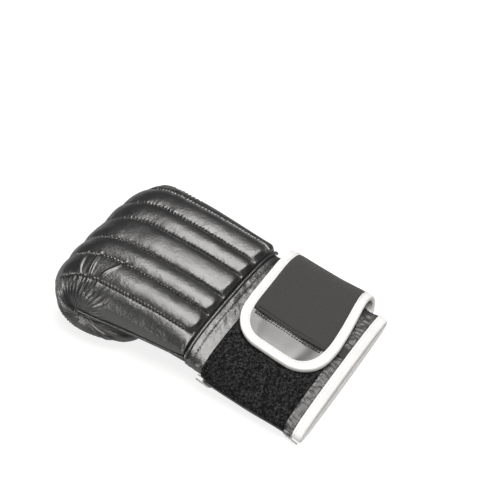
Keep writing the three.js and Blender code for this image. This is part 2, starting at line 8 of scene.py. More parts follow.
import bpy
import numpy as np
from bpy.props import FloatProperty, FloatVectorProperty, IntProperty, PointerProperty
from bpy.types import Operator, Panel, PropertyGroup
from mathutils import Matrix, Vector


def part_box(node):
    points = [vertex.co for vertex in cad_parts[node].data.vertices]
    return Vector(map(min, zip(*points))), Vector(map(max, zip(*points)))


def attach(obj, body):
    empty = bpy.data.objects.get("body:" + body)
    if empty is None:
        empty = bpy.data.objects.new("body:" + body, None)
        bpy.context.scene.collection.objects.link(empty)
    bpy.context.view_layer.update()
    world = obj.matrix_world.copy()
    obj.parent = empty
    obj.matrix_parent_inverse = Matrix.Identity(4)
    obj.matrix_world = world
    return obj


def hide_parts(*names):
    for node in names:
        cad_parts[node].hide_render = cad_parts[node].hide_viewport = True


bl_info = {
    "name": "Bag glove",
    "version": (1, 0, 0),
    "blender": (4, 5, 0),
    "location": "View3D > Sidebar > Glove",
    "description": "Builds the padded back, the palm, the cuff and the strap of a bag glove",
    "category": "Object",
}

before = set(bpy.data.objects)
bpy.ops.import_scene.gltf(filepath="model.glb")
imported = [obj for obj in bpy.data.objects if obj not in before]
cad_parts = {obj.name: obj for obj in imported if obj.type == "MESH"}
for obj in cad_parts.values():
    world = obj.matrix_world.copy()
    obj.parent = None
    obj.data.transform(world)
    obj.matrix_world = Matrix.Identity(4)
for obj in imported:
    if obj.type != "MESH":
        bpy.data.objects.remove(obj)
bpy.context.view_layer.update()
MM = 0.001

# The maker's frame sits on the pad's wrist end and on the middle of the cuff's open end.
_cuff_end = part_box("cuff_binding")
ORIGIN = np.array([(_cuff_end[0].x + _cuff_end[1].x) / 2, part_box("back_pad")[0].y, 0.0])

# Sections along the pad: 0 at the cuff seam, 1 over the hinge, 2 under it, 3 at the curled edge.
PAD_SECTIONS = {
    "place": [0, 0.45, 0.9, 1.5, 2, 2.6, 3],
    "width": [0.9, 0.93, 0.965, 0.975, 0.99, 0.93, 0.82],
    "middle": [0.02, 0.005, -0.02, -0.035, -0.05, -0.045, -0.01],
    "square": [2.5, 2.6, 2.8, 3, 2.4, 2, 2],
}

# The quilting's seams, from the thumb side, as shares of the half width: at the wrist, on the knuckles and
# where the pad has turned down over the fist's front.
RIB_SEAMS = {
    "wrist": [0.9, 0.55, 0.25, -0.14, -0.45, -0.77],
    "fist": [0.82, 0.49, 0.19, -0.18, -0.47, -0.78],
    "front": [0.74, 0.39, 0.08, -0.29, -0.57, -0.86],
}

# Three creases over the knuckles of the last two ribs: at each rib number, counted from the thumb side, the
# place along the pad where each one runs.
KNUCKLE_CREASES = {
    "rib": [3.8, 4.2, 4.6, 5, 5.4],
    "upper": [0.8, 0.83, 0.875, 0.885, 0.875],
    "middle": [1.03, 1.015, 1, 0.975, 0.95],
    "lower": [1.12, 1.1, 1.08, 1.045, 1.0],
}
CREASE_SHAPES = {"upper": (1, 1.1), "middle": (1.7, 1.3), "lower": (1.1, 1)}

# Sections along the cuff, from the seam to the open end; heights are shares of the cuff's top at the seam.
CUFF_SECTIONS = {
    "along": [0, 0.13, 0.53, 0.94, 1],
    "side": [0.64, 0.56, 0.38, 0.24, 0.19],
    "top": [1, 0.86, 0.6, 0.42, 0.349],
    "bottom": [0.14, 0.13, 0.13, 0.12, 0.05],
    "width": [0.965, 0.968, 0.98, 0.998, 1],
}

# The last quilting seam's number. Beyond it lies the plain strip at the little finger's side.
LAST_SEAM = len(RIB_SEAMS["wrist"]) - 1

# Share of a section's height where the pad is widest.
WIDEST = 0.3

# The pad's grid: rows as the places where they start and end and their count, and columns in each strip.
PAD_ROWS = ((0, 0.06, 12), (0.06, 0.68, 56), (0.68, 1, 76), (1, 2, 215), (2, 2.99, 72))
PAD_COLUMNS = {"thumb side": 22, "rib": 23, "finger side": 60}

# Gathers at the fist's sides, broad and fine: how many go to a turn about the hinge, and their depth.
BROAD_GATHERS = (44, 2.5)
FINE_GATHERS = (83, 0.6)

# The quilting stitches' spacing, and all kinds of stitches, in millimetres.
STITCH_PITCH = 3.2
STITCHES = {
    "quilting": {"pitch": STITCH_PITCH, "length": 2.2, "radius": 0.42, "lift": 0.25},
    "cuff": {"pitch": 3.0, "length": 2.2, "radius": 0.3},
    "edge": {"pitch": 3.0, "length": 2.1, "radius": 0.26},
    "palm": {"pitch": 2.6, "length": 1.9, "radius": 0.28},
    "web end": {"pitch": 2.6, "length": 2.4, "radius": 0.45},
}

# A distance at which nothing of a seam shows, in millimetres.
FAR = 100.0

# The cuff, in millimetres along it: the topstitching, the place where its leather turns duller towards the
# open end, and the place where angles round it are spaced evenly.
TOPSTITCH_Y = -7.6
DULL_FROM = -97.0
EVEN_Y = -60

# Sizes of small trim, in millimetres.
PIPING_RADIUS = 1.5
WELT_RADIUS = 1.7
TAB_LENGTH = 8
TAB_WIDTH = 9
EYELET_BORE = 1.7
EYELET_FLANGE = 3.5

# Ends of the strap, the elastic web and the loop panel as angles round the cuff, in turns of pi.
STRAP_START = 1.06
STRAP_TAB = 2.6
ELASTIC_FROM = 1.95
ELASTIC_TO = 2.5
LOOP_FROM = 1.045
LOOP_TO = 0.32

# The web's ribs, and how much wider it is on each side than its stated width, in millimetres.
WEB_RIB = 1.45
WEB_TUCK = 1.1

# The pile: how many loops, their height and their thread's radius in millimetres.
LOOP_COUNT = 8500
LOOP_HEIGHT = 1.0
LOOP_THREAD = 0.13

# Dents in the tab: each one's share of the strap's half width, its width as such a share, and its depth.
TAB_DENTS = ((0.62, 0.14, 1.1), (-0.5, 0.16, 1.3), (0.1, 0.3, -0.4))

# Where the photograph was taken from: the camera's place in millimetres and the way it looks.
CAMERA_PLACE = (-516.8, -358.5, 728.2)
CAMERA_AZIMUTH = -57
CAMERA_ELEVATION = 45
FOCAL_PIXELS = 1100
FRAME_PIXELS = 480

# The lamps' slightly warm white, and each lamp's name, place, width, depth and power.
LAMP_COLOUR = (1.0, 0.98, 0.955)
LAMPS = (
    ("overhead softbox", (0.15, -0.25, 1.15), 1.2, 0.9, 24.0),
    ("left strip", (-1.2, 0.85, 0.5), 0.8, 0.4, 12.0),
)

# The floor in metres: half its side, and how far it lies below the glove.
FLOOR_HALF = 4
FLOOR_DROP = 0.0002

UP = [0.0, 0.0, 1.0]
DOWN = [0.0, 0.0, -1.0]


def smooth(t):
    """Eases 0 to 1 with level ends; below and above it stays at 0 and 1."""
    t = np.clip(t, 0, 1)
    return t * t * (3 - 2 * t)


def lerp(a, b, t):
    """The value t of the way from a to b."""
    return a + (b - a) * t


def signed_power(value, power):
    """The power of a value's size, with the value's sign."""
    return np.sign(value) * np.abs(value) ** power


def column(table, key, at, name):
    """A table's column at a place: a cubic through its rows, with the mean slope of both sides at a row."""
    x = np.array(table[key], float)
    y = np.array(table[name], float)
    slopes = np.gradient(y, x)
    i = np.clip(np.searchsorted(x, at, side="right") - 1, 0, len(x) - 2)
    width = x[i + 1] - x[i]
    t = np.clip((at - x[i]) / width, 0, 1)
    rise = t * t * (3 - 2 * t)
    out = slopes[i] * width * t * (1 - t) ** 2
    back = slopes[i + 1] * width * t * t * (t - 1)
    return y[i] + (y[i + 1] - y[i]) * rise + out + back


def lattice(x, y, z, seed):
    """A repeatable number from 0 to 1 for each whole-numbered point, mixed from its three coordinates."""
    mixed = x * 374761393 + y * 668265263 + z * 2147483647 + seed * 1274126177
    mixed = (mixed ^ (mixed >> 13)) * 1103515245
    mixed = mixed ^ (mixed >> 16)
    return (mixed & 0xFFFFFF) / 0xFFFFFF


def noise(points, size, seed):
    """Soft noise from -1 to 1 whose lumps are about size apart: eased mixing of eight lattice numbers."""
    scaled = points / size + 1000.0
    cell = np.floor(scaled).astype(np.int64)
    t = smooth(scaled - cell)
    total = 0
    for corner in range(8):
        step = np.array([corner & 1, corner >> 1 & 1, corner >> 2 & 1])
        weight = np.prod(np.where(step, t, 1 - t), axis=-1)
        total = total + weight * lattice(*np.moveaxis(cell + step, -1, 0), seed)
    return 2 * total - 1


def normals(points):
    """Unit normals of a grid of points: the cross product of its two directions."""
    along, across = np.gradient(points, axis=(0, 1))
    crossed = np.cross(along, across)
    return crossed / np.maximum(np.linalg.norm(crossed, axis=-1, keepdims=True), 1e-9)


def arc_length(points, axis=0):
    """Distance run along a grid's rows or columns, from its first point."""
    steps = np.linalg.norm(np.diff(points, axis=axis), axis=-1)
    start = np.zeros_like(np.take(steps, [0], axis=axis))
    return np.concatenate([start, np.cumsum(steps, axis=axis)], axis=axis)


def grid_faces(rows, columns, close_rows=False, close_columns=False, start=0):
    """Four-cornered faces between neighbours of a grid, whose rows or columns may join end to end."""
    i = np.arange(rows if close_rows else rows - 1)[:, None]
    j = np.arange(columns if close_columns else columns - 1)[None, :]
    below, right = (i + 1) % rows, (j + 1) % columns
    corners = [i * columns + j, below * columns + j, below * columns + right, i * columns + right]
    return start + np.stack(np.broadcast_arrays(*corners), axis=-1).reshape(-1, 4)


def new_piece(name, points, faces, rounds=(), finish=None, uv=None, marks=None):
    """A mesh object at the origin from points in millimetres, with four-cornered faces and the outlines of
    any flat ends. uv gives each point its place on the cloth in millimetres, and marks are named values."""
    mesh = bpy.data.meshes.new(name)
    flat = np.asarray(points, float).reshape(-1, 3) * MM + ORIGIN
    corners = [faces.reshape(-1)] + [np.asarray(r) for r in rounds]
    totals = np.concatenate([np.full(len(faces), 4), [len(r) for r in rounds]]).astype(np.int32)
    loops = np.concatenate(corners).astype(np.int32)
    mesh.vertices.add(len(flat))
    mesh.vertices.foreach_set("co", flat.astype(np.float32).ravel())
    mesh.loops.add(len(loops))
    mesh.loops.foreach_set("vertex_index", loops)
    mesh.polygons.add(len(totals))
    mesh.polygons.foreach_set("loop_start", np.concatenate([[0], np.cumsum(totals)[:-1]]).astype(np.int32))
    mesh.polygons.foreach_set("loop_total", totals)
    if uv is not None:
        layer = mesh.uv_layers.new(name="cloth")
        layer.data.foreach_set("uv", (np.asarray(uv).reshape(-1, 2)[loops] * MM).astype(np.float32).ravel())
    for mark, values in (marks or {}).items():
        attribute = mesh.attributes.new(mark, "FLOAT", "POINT")
        attribute.data.foreach_set("value", np.asarray(values, np.float32).ravel())
    mesh.update(calc_edges=True)
    if mesh.validate():
        raise RuntimeError(f"{name} has faces that can't be")
    piece = bpy.data.objects.new(name, mesh)
    bpy.context.scene.collection.objects.link(piece)
    mesh.shade_smooth()
    if finish:
        mesh.materials.append(finish)
    if volume_of(points, faces, rounds) < 0:
        mesh.flip_normals()
    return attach(piece, "root")


def volume_of(points, faces, rounds=()):
    """Six times a closed skin's volume, below 0 if its faces point in: the sum over its fans of triangles."""
    p = np.asarray(points, float).reshape(-1, 3)
    fans = [faces[:, [0, 1, 2]], faces[:, [0, 2, 3]]]
    for outline in rounds:
        r = np.asarray(outline)
        fans.append(np.stack([np.full(len(r) - 2, r[0]), r[1:-1], r[2:]], axis=-1))
    a, b, c = np.moveaxis(p[np.concatenate(fans)], 1, 0)
    return float(np.sum(a * np.cross(b, c)))


def skin_piece(name, rings, **details):
    """A closed piece from a grid whose rows are rings: joined round, with its two end rings as flat ends."""
    rows, columns = rings.shape[:2]
    ends = [np.arange(columns), (rows - 1) * columns + np.arange(columns)[::-1]]
    return new_piece(name, rings, grid_faces(rows, columns, close_columns=True), ends, **details)


def slab_rings(outer, inner):
    """Rings round a slab, from the grids of its two faces: one face's row and then the other's, backwards."""
    return np.concatenate([outer, inner[:, ::-1]], axis=1)


def tangents(path):
    """Tangents of a path: each point's unit step from the one before it to the one after."""
    step = np.gradient(path, axis=0)
    return step / np.linalg.norm(step, axis=1, keepdims=True)


def tube_rings(path, out, radius, sides=10, flat=1.0):
    """Rings of a tube along a path. out is each point's outward way; flat squeezes the tube that way."""
    tangent = tangents(path)
    side = np.cross(tangent, out)
    side /= np.linalg.norm(side, axis=1, keepdims=True)
    up = np.cross(side, tangent)
    turn = np.linspace(0, 2 * np.pi, sides, endpoint=False)
    reach = np.broadcast_to(np.asarray(radius, float), len(path))[:, None, None]
    ring = side[:, None] * np.cos(turn)[None, :, None] + up[:, None] * np.sin(turn)[None, :, None] * flat
    return path[:, None] + ring * reach


def resample(path, *others, step):
    """Points at even steps along a path, with the values that go with them."""
    run = np.concatenate([[0], np.cumsum(np.linalg.norm(np.diff(path, axis=0), axis=1))])
    count = max(2, int(round(run[-1] / step)) + 1)
    at = np.linspace(0, run[-1], count)

    def evenly(values):
        return np.stack([np.interp(at, run, values[:, k]) for k in range(values.shape[1])], axis=1)

    return [evenly(values) for values in (path, *others)]


def stitch_row(path, out, pitch, length, radius, lift=0.0):
    """Stitches along a path: each is a short thread that dives in at both ends, a bent bar of six-sided
    rings. Returns its points and faces, ready to be joined with other rows."""
    centres, outs = resample(path, out, step=pitch)
    centres, outs = centres[1:-1], outs[1:-1]
    if len(centres) < 2:
        return np.zeros((0, 3)), np.zeros((0, 4), int)
    tangent = tangents(centres)
    outs = outs / np.linalg.norm(outs, axis=1, keepdims=True)
    side = np.cross(tangent, outs)
    t = np.array([-0.5, -0.36, 0.0, 0.36, 0.5])
    sink = radius * np.array([-1.3, 0.1, 0.45, 0.1, -1.3]) + lift
    size = radius * np.array([0.45, 0.95, 1.0, 0.95, 0.45])
    turn = np.linspace(0, 2 * np.pi, 6, endpoint=False)
    spine = centres[:, None] + tangent[:, None] * (t * length)[None, :, None]
    spine = spine + outs[:, None] * sink[None, :, None]
    around = side[:, None, None] * np.cos(turn)[None, None, :, None]
    around = around + outs[:, None, None] * np.sin(turn)[None, None, :, None]
    points = spine[:, :, None] + around * size[None, :, None, None]
    one = grid_faces(5, 6, close_columns=True)
    caps = np.array([[0, 1, 2, 3], [0, 3, 4, 5], [29, 28, 27, 26], [29, 26, 25, 24]])
    block = np.concatenate([one, caps])
    faces = (block[None] + 30 * np.arange(len(centres))[:, None, None]).reshape(-1, 4)
    return points.reshape(-1, 3), faces


def thread_piece(name, rows, finish):
    """One piece from several rows of stitches."""
    points, faces, start = [], [], 0
    for row_points, row_faces in rows:
        points.append(row_points)
        faces.append(row_faces + start)
        start += len(row_points)
    return new_piece(name, np.concatenate(points), np.concatenate(faces), finish=finish)


def length_property(name, about, metres):
    """A length that a user can change."""
    return FloatProperty(name=name, description=about, default=metres, unit="LENGTH")


def colour_property(name, about, linear):
    """A colour that a user can change."""
    return FloatVectorProperty(
        name=name, description=about, subtype="COLOR", size=3, default=linear, min=0, max=1,
    )


class GloveSizes(PropertyGroup):
    """Sizes of the glove that a user would change, in metres."""

    hand_length: length_property("Hand length", "Cuff seam to the fist's front", 0.140)
    fist_height: length_property("Fist height", "Floor to the knuckles", 0.069)
    fist_width: length_property("Fist width", "Across the knuckles", 0.158)
    wrist_height: length_property("Wrist height", "Top of the pad at the cuff", 0.047)
    wrist_width: length_property("Wrist width", "Width of the pad at the cuff", 0.142)
    curl_edge_y: length_property("Curled edge", "Cuff seam to the curled edge", 0.048)
    seam_z_wrist: length_property("Side seam, wrist", "Height at the cuff", 0.028)
    seam_z_fist: length_property("Side seam, fist", "Height at the hinge", 0.033)
    hinge_from_front: length_property("Hinge", "Hinge to the fist's front", 0.039)
    fold_radius: length_property("Fold radius", "Bend of the palm leather", 0.0017)
    slit_mouth: length_property("Slit mouth", "Opening at the curled edge", 0.005)
    flattened: length_property("Flattened", "How far the floor presses the fist in", 0.0015)
    foam_back: length_property("Foam, back", "Padding over the back of the hand", 0.015)
    foam_front: length_property("Foam, front", "Padding over the knuckles", 0.011)
    side_wall: length_property("Side wall", "Padding at the sides", 0.006)
    rib_rise: length_property("Rib rise", "How far the ribs stand above the seams", 0.0034)
    leather: length_property("Leather", "Thickness of leather and strap", 0.002)
    gap: length_property("Gap", "Clearance between pieces", 0.0003)
    belly_depth: length_property("Palm depth", "How far the palm hangs at the cuff", 0.021)
    belly_length: length_property("Palm length", "How far the palm hangs towards the fist", 0.046)
    thumb_length: length_property("Thumb length", "Length of the thumb", 0.044)
    thumb_width: length_property("Thumb width", "Width of the thumb", 0.030)
    thumb_thickness: length_property("Thumb thickness", "Height of the thumb", 0.021)
    thumb_inset: length_property("Thumb inset", "Thumb's middle from the glove's side", 0.017)
    cuff_length: length_property("Cuff length", "Seam to open end", 0.113)
    cuff_width: length_property("Cuff width", "Width at the open end", 0.145)
    cuff_top: length_property("Cuff top", "Height of the cuff at the seam", 0.043)
    binding_width: length_property("Binding width", "Width of the binding", 0.008)
    binding_wall: length_property("Binding wall", "Thickness of the binding", 0.001)
    strap_width: length_property("Strap width", "Width of the strap", 0.084)
    strap_from_seam: length_property("Strap from seam", "Seam to the strap", 0.016)
    strap_standoff: length_property("Strap stand-off", "How far it bows at the thumb side", 0.0075)
    strap_skew: length_property("Strap skew", "How far its sewn end is set back", 0.0045)
    strap_corner: length_property("Tab corner", "How far the tab's corners are drawn in", 0.027)
    elastic_width: length_property("Elastic width", "Width of the web without its tucked edges", 0.068)
    loop_width: length_property("Loop panel width", "Width of the loop panel", 0.080)
    loop_thickness: length_property("Loop panel", "Thickness of the loop panel", 0.002)
    seed: IntProperty(name="Wrinkle seed", description="Another number gives other wrinkles", default=7)


class GloveColours(PropertyGroup):
    """Colours of the glove, in linear light."""

    leather: colour_property("Leather", "Black leather", (0.009, 0.009, 0.0095))
    vinyl: colour_property("Vinyl", "Grey satin vinyl of the strap", (0.06, 0.06, 0.06))
    binding: colour_property("Binding", "Folded tape at the edges", (0.71, 0.71, 0.7))
    web: colour_property("Web", "Ribbed elastic web", (0.027, 0.026, 0.0255))
    pile: colour_property("Loop pile", "Loops of the fastening", (0.013, 0.013, 0.0135))
    thread: colour_property("Thread", "Black sewing thread", (0.012, 0.012, 0.012))
    floor: colour_property("Floor", "Pale floor, without its glow", (0.3, 0.3, 0.3))


def millimetres(context):
    """The sizes as plain numbers in millimetres, with the few that follow from them."""
    group = context.scene.glove_sizes
    s = SimpleNamespace(**{k: getattr(group, k) / MM for k in GloveSizes.__annotations__ if k != "seed"})
    s.seed = group.seed
    s.fist_radius = s.fist_height / 2
    s.fist_y = s.hand_length - s.fist_radius
    s.hinge = np.array([s.hand_length - s.hinge_from_front, s.seam_z_fist - s.fold_radius])
    s.strap_middle = -s.strap_from_seam - s.strap_width / 2
    s.strap_seat = 3 * s.gap + s.binding_wall + s.leather / 2
    s.thumb_x = s.wrist_width / 2 - s.thumb_inset
    return s


def seam_level(s, y):
    """Height of the side seams over the hand: a straight rise from the wrist to the hinge."""
    return lerp(s.seam_z_wrist, s.seam_z_fist, np.clip(y / s.hinge[0], 0, 1))


def under_level(s, y):
    """Height of the slit's lower side: a straight fall from the fold to the curled edge."""
    t = np.clip((s.hinge[0] - y) / (s.hinge[0] - s.curl_edge_y), 0, 1)
    return lerp(s.hinge[1] - s.fold_radius, seam_level(s, s.curl_edge_y) - s.slit_mouth, t)


def under_height(s, y):
    """Height of the curled part's underside: pressed flat, with a round quarter up to the curled edge."""
    d = np.clip((y - s.curl_edge_y) / 14, 0, 1)
    return lerp(-s.flattened, under_level(s, s.curl_edge_y) - s.leather, 1 - np.sqrt(1 - (1 - d) ** 2))


def pad_stations(s, place, offset):
    """For each place along the pad, its point on the palm line, moved outwards by offset, and the outer
    profile's point over it. The line is straight over the hand, turns half round the hinge and comes back
    under it."""
    over_y = s.hinge[0] * place
    u = np.clip(over_y / s.fist_y, 0, 1)
    crown = lerp(s.wrist_height, s.fist_height, 1 - (1 - u) ** 1.45)
    angle = np.pi * (1.5 - np.clip(place, 1, 2))
    way = np.stack([np.cos(angle), np.sin(angle)], axis=-1)
    turn_base = s.hinge + (s.fold_radius + offset) * way
    from_centre = s.hinge - [s.fist_y, s.fist_radius]
    along = way @ from_centre
    reach = np.sqrt(along**2 - from_centre @ from_centre + s.fist_radius**2) - along
    turn_tip = s.hinge + reach[:, None] * way
    under_y = lerp(s.hinge[0], s.curl_edge_y, np.clip(place - 2, 0, 1))
    base = np.where((place <= 1)[:, None], np.stack([over_y, seam_level(s, over_y) + offset], -1), turn_base)
    base = np.where((place >= 2)[:, None], np.stack([under_y, under_level(s, under_y) - offset], -1), base)
    tip = np.where((place <= 1)[:, None], np.stack([over_y, crown], -1), turn_tip)
    tip = np.where((place >= 2)[:, None], np.stack([under_y, under_height(s, under_y)], -1), tip)
    return base, tip


def share_of_side(place, side):
    """The share of the way round a section, from the little finger's seam, at which a side share lies."""
    power = 2 / column(PAD_SECTIONS, "place", place, "square")
    dip = np.arcsin((WIDEST / (1 - WIDEST)) ** (1 / power))
    return (np.arccos(-signed_power(side, 1 / power)) + dip) / (np.pi + 2 * dip)


def pad_surface(s, place, share, offset, inset=0.0, foam=0.0):
    """The pad's grid: at each place a superellipse that stands on the palm line and is widest low down.
    share is a grid of places round it, from the little finger's seam over the outside to the thumb's
    seam."""
    half = (column(PAD_SECTIONS, "place", place, "width") * s.fist_width / 2 - inset)[:, None]
    middle = (column(PAD_SECTIONS, "place", place, "middle") * s.fist_width / 2)[:, None]
    power = (2 / column(PAD_SECTIONS, "place", place, "square"))[:, None]
    dip = np.arcsin((WIDEST / (1 - WIDEST)) ** (1 / power))
    base, tip = pad_stations(s, place, offset)
    way = tip - base
    height = np.linalg.norm(way, axis=1, keepdims=True)
    way = way / height
    height = height - np.broadcast_to(foam, len(place))[:, None]
    angle = lerp(-dip, np.pi + dip, share)
    side = -signed_power(np.cos(angle), power)
    rise = WIDEST + (1 - WIDEST) * signed_power(np.sin(angle), power)
    x = middle + half * side
    yz = base[:, None] + way[:, None] * (height * rise)[..., None]
    return np.concatenate([x[..., None], yz], axis=-1)


def pad_grid():
    """Places along the pad and, for each, shares round it, with columns on the seams and close together
    there. Also gives each column's rib number, counted from the thumb side with its part within the rib."""
    place = np.concatenate([np.linspace(*row)[:-1] for row in PAD_ROWS[:-1]] + [np.linspace(*PAD_ROWS[-1])])
    t = smooth(place / 0.9)
    turned = smooth((place - 0.88) / 0.34)
    sides = [lerp(lerp(w, k, t), f, turned) for w, k, f in zip(*RIB_SEAMS.values())]
    knots = [np.ones_like(place)] + [share_of_side(place, side) for side in sides] + [np.zeros_like(place)]
    counts = [PAD_COLUMNS["thumb side"]] + [PAD_COLUMNS["rib"]] * LAST_SEAM + [PAD_COLUMNS["finger side"]]
    shares, ribs = [], []
    for i, count in enumerate(counts):
        u = np.linspace(0, 1, count, endpoint=False)
        bunched = lerp(u, 0.5 - 0.5 * np.cos(np.pi * u), 0.78 if i < len(sides) else 0.4)
        shares.append(lerp(knots[i][:, None], knots[i + 1][:, None], bunched[None, :]))
        ribs.append(i - 1 + bunched)
    shares.append(knots[-1][:, None])
    ribs.append([len(sides)])
    return place, np.concatenate(shares, axis=1)[:, ::-1], np.concatenate(ribs)[::-1]


def seam_columns(ribs):
    """The grid's columns that lie on the quilting's seams."""
    return [int(np.argmin(np.abs(ribs - k))) for k in range(len(RIB_SEAMS["wrist"]))]


def seam_distance(points, ribs):
    """Distance across the pad from each point to the nearest seam, and distance run along the pad."""
    across = arc_length(points, axis=1)
    columns = seam_columns(ribs)
    nearest = np.min([np.abs(across - across[:, [c]]) for c in columns], axis=0)
    return nearest, arc_length(points)[:, [columns[2]]]


def quilt_relief(s, points, place, ribs):
    """How far the quilted leather stands off the plain pad. Between two seams it swells as a power of a
    sine; at a seam it is pulled in by a bell curve; stretched noise wrinkles it beside the seams. The ribs
    start rounded at the wrist, where the eased distance run is divided by a reach that grows from a rib's
    middle to its seams, and they fade out round the fist."""
    number = np.floor(ribs + 1e-9)
    part = ribs - number
    inner = (number >= 0) & (number < LAST_SEAM)
    swell = np.where(inner, np.abs(np.sin(np.pi * part)) ** 0.7, 0)
    strip = np.where(number < 0, 0.42 * np.sin(np.pi * np.clip(part, 0, 1)) ** 0.5, 0)
    sunk = -0.7 * smooth(part / 0.42) * (1 - smooth((part - 0.6) / 0.4))
    outer_side = np.where(number >= LAST_SEAM, sunk, 0)
    fading = 1 - smooth((place - 1.42) / 0.36)
    d, run = seam_distance(points, ribs)
    plump = smooth(run / (3.2 + 5.5 * (2 * part - 1) ** 2)) * fading[:, None]
    ends = smooth(run / 2.5) * fading[:, None]
    unrolled = np.stack(np.broadcast_arrays(ribs * 2, run, 0.0), axis=-1)
    wrinkle = noise(unrolled, np.array([0.6, 3.3, 1]), s.seed)
    flatter = lerp(1, 0.5, smooth((place - 0.7) / 0.4))
    relief = s.rib_rise * (swell + strip + outer_side)[None, :] * plump * flatter[:, None]
    relief -= 0.9 * np.exp(-((d / 0.8) ** 2)) * ends
    relief += np.where(ribs > LAST_SEAM, 0.15, 0.4) * np.exp(-((d / 3.4) ** 2)) * wrinkle * ends
    return relief


def gather_relief(s, points, place, share):
    """Gathers on both sides of the fist. Seen from the side they fan out from the hinge: each fold is a
    crest, 1 minus a power of a sine's size, of the angle about the hinge. They grow with the distance from
    the hinge, die away over the pad as an exponential of the cubed distance from the side seam, and noise
    unevens their angles and lengths."""
    out = np.where(share < 0.5, arc_length(points, axis=1), arc_length(points[:, ::-1], axis=1)[:, ::-1])
    side = np.where(share < 0.5, 0.0, 50.0)
    from_hinge = points[..., 1:] - s.hinge
    turn = np.arctan2(from_hinge[..., 1], from_hinge[..., 0]) / (2 * np.pi)
    turn = turn + 0.009 * noise(np.stack([out / 11, turn * 12, side], -1), 1.0, s.seed + 3)
    (folds_a_turn, depth), (fine_a_turn, fine_depth) = BROAD_GATHERS, FINE_GATHERS
    folds = 1 - np.abs(np.sin(np.pi * folds_a_turn * turn + side)) ** 0.9
    finer = 1 - np.abs(np.sin(np.pi * fine_a_turn * turn + 1 + side)) ** 0.9
    long = 25 + 9 * noise(np.stack([turn * 26, side, side], -1), 1.0, s.seed + 5)
    p = place[:, None]
    fan = smooth((p - 0.7) / 0.22) * (1 - smooth((p - 2.5) / 0.4)) * lerp(1, 0.45, smooth((p - 1.6) / 0.35))
    reach = np.clip(np.linalg.norm(from_hinge, axis=-1) / 22, 0, 1)
    decay = np.exp(-((out / long) ** 3)) * reach
    fine_decay = np.exp(-((out / (0.7 * long)) ** 3)) * reach
    return fan * (depth * decay * (folds - 0.35) + fine_depth * fine_decay * (finer - 0.35))


def crease_relief(points, place, ribs):
    """Knuckle creases. Each is a ridge: a bell curve of the distance along the pad from the crease's line,
    which dies away at both ends as a power of a sine."""
    run = arc_length(points)[:, [points.shape[1] // 2]]
    first, last = KNUCKLE_CREASES["rib"][0], KNUCKLE_CREASES["rib"][-1]
    share = np.clip((ribs - first) / (last - first), 0, 1)
    total = np.zeros(points.shape[:2])
    for name, (height, width) in CREASE_SHAPES.items():
        line = column(KNUCKLE_CREASES, "rib", np.clip(ribs, first, last), name)
        d = run - np.interp(line, place, run[:, 0])[None, :]
        total += height * np.exp(-((d / width) ** 2)) * np.sin(np.pi * share)[None, :] ** 0.4
    return total


def pad_points(s):
    """The pad's outer grid with its outward directions, and the places and rib numbers that it is made on.
    To the reliefs it adds soft noise of two sizes and a dip at the wrist, the square of the part of the way
    still left to a line that bows between the seams. The floor presses it flat at height 0."""
    place, share, ribs = pad_grid()
    points = pad_surface(s, place, share, s.leather / 2 + s.gap)
    out = -normals(points)
    relief = quilt_relief(s, points, place, ribs)
    relief += gather_relief(s, points, place, share)
    relief += crease_relief(points, place, ribs)
    run = arc_length(points)[:, [points.shape[1] // 2]]
    relief += 0.5 * noise(points, 26.0, s.seed + 1) * smooth(run / 20)
    relief += 0.16 * noise(points, np.array([6.0, 9.0, 6.0]), s.seed + 2) * smooth(run / 6)
    bowed = 5.5 + 9 * (2 * (ribs - np.floor(ribs + 1e-9)) - 1) ** 2
    relief -= 1.5 * np.clip(1 - run / bowed[None, :], 0, 1) ** 2
    edges = smooth(np.minimum(share, 1 - share) / 0.02)
    relief *= 0.25 + 0.75 * edges
    points = points + out * relief[..., None]
    points[..., 2] = np.maximum(points[..., 2], 0)
    return points, out, place, ribs


def seam_paths(points, out, ribs, place, start=0.035, end=1.62):
    """The quilting's seams as paths on the pad, with their outward directions."""
    rows = (place > start) & (place < end)
    return [(points[rows, c], out[rows, c]) for c in seam_columns(ribs)]


class GLOVE_OT_back_pad(Operator):
    """Build the padded, quilted back with its curled front and its stitches"""

    bl_idname = "glove.back_pad"
    bl_label = "Back pad"

    def execute(self, context):
        s = millimetres(context)
        looks = finishes(context)
        points, out, place, ribs = pad_points(s)
        hollow_share = np.broadcast_to(np.linspace(0, 1, 18), (len(place), 18))
        foam = lerp(s.foam_back, s.foam_front, smooth((place - 0.8) / 0.7))
        closing = 1 - smooth((place - 2.45) / 0.4)
        hollow = pad_surface(s, place, hollow_share, s.leather / 2 + s.gap, inset=s.side_wall, foam=foam)
        base = pad_stations(s, place, s.leather / 2 + s.gap)[0]
        palm_line = np.broadcast_to(base[:, None], hollow[..., 1:].shape)
        flat = np.concatenate([hollow[..., :1], palm_line], axis=-1)
        hollow = lerp(flat, hollow, closing[:, None, None])
        hollow[..., 0] = lerp(hollow[..., 0] * 0.98, hollow[..., 0], closing[:, None])
        seams, run = seam_distance(points, ribs)
        fading = np.clip((place - 0.03) / 0.06, 0, 1) * (1 - smooth((place - 1.4) / 0.3))
        to_seam = seams + FAR * (1 - fading[:, None]) + 2.5 * (ribs > LAST_SEAM)
        inside = np.full(hollow.shape[:2], FAR)
        marks = {
            "seam": np.concatenate([to_seam, inside], axis=1),
            "run": np.concatenate([np.broadcast_to(run, seams.shape), inside], axis=1),
        }
        pad = skin_piece("back_pad_leather", slab_rings(points, hollow), finish=looks.leather, marks=marks)
        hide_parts("back_pad")
        paths = seam_paths(points, out, ribs, place)
        rows = [stitch_row(path, up, **STITCHES["quilting"]) for path, up in paths]
        thread = thread_piece("back_pad_stitches", rows, looks.thread)
        return {"FINISHED"}


